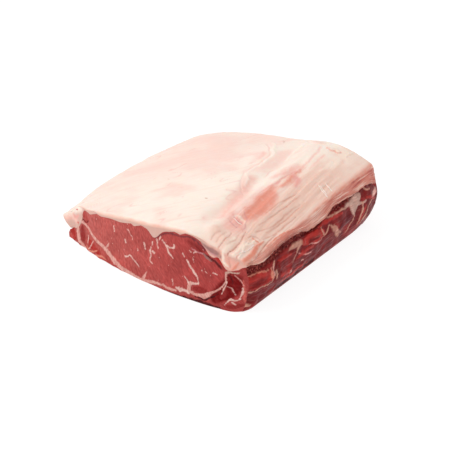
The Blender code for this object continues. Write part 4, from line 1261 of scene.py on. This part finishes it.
def crumbled_meat():
    """The dark grains of torn tissue in the cleft."""
    material, tree, shader = start_material("crumbled_meat")
    dark, pale = full((104, 28, 26)), full((184, 84, 74))
    uneven = mottle(tree, 330.0)
    feed(tree, shader, {
        "Base Color": blend_colour(tree, spread(tree, uneven, 0.35, 0.65), dark, pale),
        "Roughness": 0.5,
        "Specular IOR Level": 0.25,
        "Normal": bumped(tree, uneven, 0.4, 0.0003),
    })
    return material


def grow(name, start, tree, values, material):
    """Runs a tree of geometry nodes on a mesh or curve, and hangs the plain mesh that it makes on
    the part."""
    maker = add_object(name + "_maker", start)
    modifier = maker.modifiers.new("grow", "NODES")
    modifier.node_group = tree
    sockets = {item.name: item.identifier for item in tree.interface.items_tree}
    for label, value in {**values, "Material": material}.items():
        modifier[sockets[label]] = value
    graph = bpy.context.evaluated_depsgraph_get()
    mesh = bpy.data.meshes.new_from_object(maker.evaluated_get(graph), depsgraph=graph)
    bpy.data.objects.remove(maker)
    mesh.name = name
    mesh.shade_smooth()
    piece = add_object(name, mesh)
    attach(piece, "root")


def close_tree(tree, geometry, given, result):
    """Realizes what a tree made, gives it its material and puts it out."""
    real = add_node(tree, "GeometryNodeRealizeInstances", {"Geometry": geometry})
    coated = add_node(tree, "GeometryNodeSetMaterial", {
        "Geometry": real.outputs["Geometry"], "Material": given.outputs["Material"],
    })
    tree.links.new(coated.outputs["Geometry"], result.inputs["Geometry"])
    return tree


def crumb_tree():
    """Small grains, strewn over a surface, half sunk in it and pushed out of shape."""
    tree, given, result = start_group("strewn_crumbs", "GeometryNodeTree", (
        ("Geometry", "NodeSocketGeometry", None),
        ("Density", "NodeSocketFloat", 1.0),
        ("Radius", "NodeSocketFloat", 0.001),
        ("Seed", "NodeSocketInt", 0),
        ("Material", "NodeSocketMaterial", None),
    ), (("Geometry", "NodeSocketGeometry"),))
    strewn = add_node(tree, "GeometryNodeDistributePointsOnFaces", {
        "Mesh": given.outputs["Geometry"], "Density": given.outputs["Density"],
        "Seed": given.outputs["Seed"],
    })
    grain = add_node(tree, "GeometryNodeMeshIcoSphere", {
        "Radius": given.outputs["Radius"], "Subdivisions": 2,
    })
    turn = add_node(tree, "FunctionNodeRandomValue", {
        "Max": (math.tau,) * 3, "Seed": 3,
    }, data_type="FLOAT_VECTOR")
    size = add_node(tree, "FunctionNodeRandomValue", {
        "Min": (0.4, 0.5, 0.4), "Max": (1.1, 1.9, 0.9), "Seed": 5,
    }, data_type="FLOAT_VECTOR")
    placed = add_node(tree, "GeometryNodeInstanceOnPoints", {
        "Points": strewn.outputs["Points"], "Instance": grain.outputs["Mesh"],
        "Rotation": turn.outputs["Value"], "Scale": size.outputs["Value"],
    })
    real = add_node(tree, "GeometryNodeRealizeInstances", {"Geometry": placed.outputs["Instances"]})
    push = add_noise(tree, 900.0, 1.0).outputs["Color"]
    centred = vector_maths(tree, "SUBTRACT", push, (0.5,) * 3)
    torn = add_node(tree, "GeometryNodeSetPosition", {
        "Geometry": real.outputs["Geometry"],
        "Offset": vector_maths(tree, "MULTIPLY", centred, (CRUMB_RAG * MM,) * 3),
    })
    return close_tree(tree, torn.outputs["Geometry"], given, result)


def strand_tree():
    """Curves thickened into strands that taper to both ends."""
    tree, given, result = start_group("tapering_strands", "GeometryNodeTree", (
        ("Geometry", "NodeSocketGeometry", None),
        ("Radius", "NodeSocketFloat", 0.001),
        ("Material", "NodeSocketMaterial", None),
    ), (("Geometry", "NodeSocketGeometry"),))
    place = add_node(tree, "GeometryNodeSplineParameter").outputs["Factor"]
    swell = maths(tree, "SINE", maths(tree, "MULTIPLY", place, math.pi))
    shaped = add_node(tree, "GeometryNodeSetCurveRadius", {
        "Curve": given.outputs["Geometry"],
        "Radius": maths(tree, "MULTIPLY_ADD", swell, 0.7, 0.3),
    })
    ring = add_node(tree, "GeometryNodeCurvePrimitiveCircle", {
        "Resolution": 8, "Radius": given.outputs["Radius"],
    })
    tube = add_node(tree, "GeometryNodeCurveToMesh", {
        "Curve": shaped.outputs["Curve"], "Profile Curve": ring.outputs["Curve"],
        "Fill Caps": True,
    })
    return close_tree(tree, tube.outputs["Mesh"], given, result)


def strew_crumbs(lean, cleft):
    """Crumbs over the part of the lean that is in the cleft."""
    faces = lean.triangles()
    faces = faces[(cleft[faces] > CRUMB_BED).all(axis=1)]
    used, corners = np.unique(faces, return_inverse=True)
    bed = bpy.data.meshes.new("cleft_bed")
    bed.from_pydata((lean.places[used] * MM).tolist(), [], corners.reshape(-1, 3).tolist())
    values = {"Density": CRUMBS_PER_SQUARE_METRE, "Radius": CRUMB_RADIUS * MM, "Seed": CRUMB_SEED}
    grow("cleft_crumbs", bed, crumb_tree(), values, crumbled_meat())


def lay_strands(fat):
    """Strands that follow the top of the fat."""
    surface = BVHTree.FromPolygons(fat.places.tolist(), fat.triangles().tolist())
    curve = bpy.data.curves.new("strand_paths", "CURVE")
    curve.dimensions = "3D"
    for line in STRANDS:
        dots = smooth_line(line, STRAND_STEPS)
        spline = curve.splines.new("POLY")
        spline.points.add(len(dots) - 1)
        for point, (x, y) in zip(spline.points, dots):
            hit, *_ = surface.ray_cast(Vector((x, y, OVER_ALL)), Vector((0, 0, -1)))
            point.co = (x * MM, y * MM, (hit.z + STRAND_LIFT) * MM, 1.0)
    values = {"Radius": STRAND_RADIUS * MM}
    grow("pale_strands", curve, strand_tree(), values, sinew())


def make_lean():
    return Block("lean_meat", lean_point, LEAN_COLUMNS, LEAN_ROWS, LEAN_LAYERS, LEAN_FINER)


def make_fat():
    return Block("fat_cover", fat_point, FAT_COLUMNS, FAT_ROWS, FAT_LAYERS, FAT_FINER)


def centre_blocks(blocks):
    """Moves the dense pieces by as much as the solids were moved to stand on the origin."""
    low = np.min([block.places.min(axis=0) for block in blocks], axis=0)
    high = np.max([block.places.max(axis=0) for block in blocks], axis=0)
    solid_low = np.min([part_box(node)[0] for node in ("lean", "fat_cap")], axis=0) / MM
    solid_high = np.max([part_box(node)[1] for node in ("lean", "fat_cap")], axis=0) / MM
    shift = (solid_low + solid_high - low - high) / 2
    shift[2] = solid_low[2] - low[2]
    for block in blocks:
        block.places += shift
        block.put()


def make_camera():
    data = bpy.data.cameras.new("camera")
    data.lens = CAMERA_LENS
    data.sensor_width = CAMERA_SENSOR
    camera = add_object("camera", data)
    turn, lift = math.radians(CAMERA_AZIMUTH), math.radians(CAMERA_ELEVATION)
    flat = math.cos(lift)
    back = Vector((math.sin(turn) * flat, -math.cos(turn) * flat, math.sin(lift)))
    camera.location = (Vector(CAMERA_TARGET) + back * CAMERA_DISTANCE) * MM
    camera.rotation_euler = back.to_track_quat("Z", "Y").to_euler()
    bpy.context.scene.camera = camera


def make_light():
    world = bpy.data.worlds.new("studio")
    bpy.context.scene.world = world
    world.use_nodes = True
    background = world.node_tree.nodes["Background"]
    feed(world.node_tree, background, {"Color": (1, 1, 1, 1), "Strength": ROOM_LIGHT})
    data = bpy.data.lights.new("key", "AREA")
    data.shape = "DISK"
    data.size = KEY_SIZE
    data.energy = KEY_POWER
    key = add_object("key", data)
    key.location = KEY_PLACE
    key.rotation_euler = Vector(KEY_PLACE).to_track_quat("Z", "Y").to_euler()
    bpy.context.scene.view_settings.view_transform = "Standard"


def make_floor():
    bm = bmesh.new()
    bmesh.ops.create_grid(bm, x_segments=1, y_segments=1, size=FLOOR_REACH)
    mesh = bpy.data.meshes.new("floor")
    bm.to_mesh(mesh)
    bm.free()
    material, tree, shader = start_material("paper")
    feed(tree, shader, {
        "Base Color": (FLOOR_GREY, FLOOR_GREY, FLOOR_GREY, 1),
        "Roughness": 0.9,
        "Specular IOR Level": 0.0,
        "Emission Color": (1, 1, 1, 1),
        "Emission Strength": FLOOR_GLOW,
    })
    mesh.materials.append(material)
    floor = add_object("floor", mesh)


def main():
    lean, fat = make_lean(), make_fat()
    centre_blocks((lean, fat))
    groups = (fibre_group(), fleck_group())
    laid, cleft = lean_finish(lean)
    finish_block(lean, laid, lean_flesh(groups), "lean")
    finish_block(fat, fat_finish(fat), fat_tissue(groups), "fat_cap")
    strew_crumbs(lean, cleft)
    lay_strands(fat)
    make_camera()
    make_light()
    make_floor()


main()
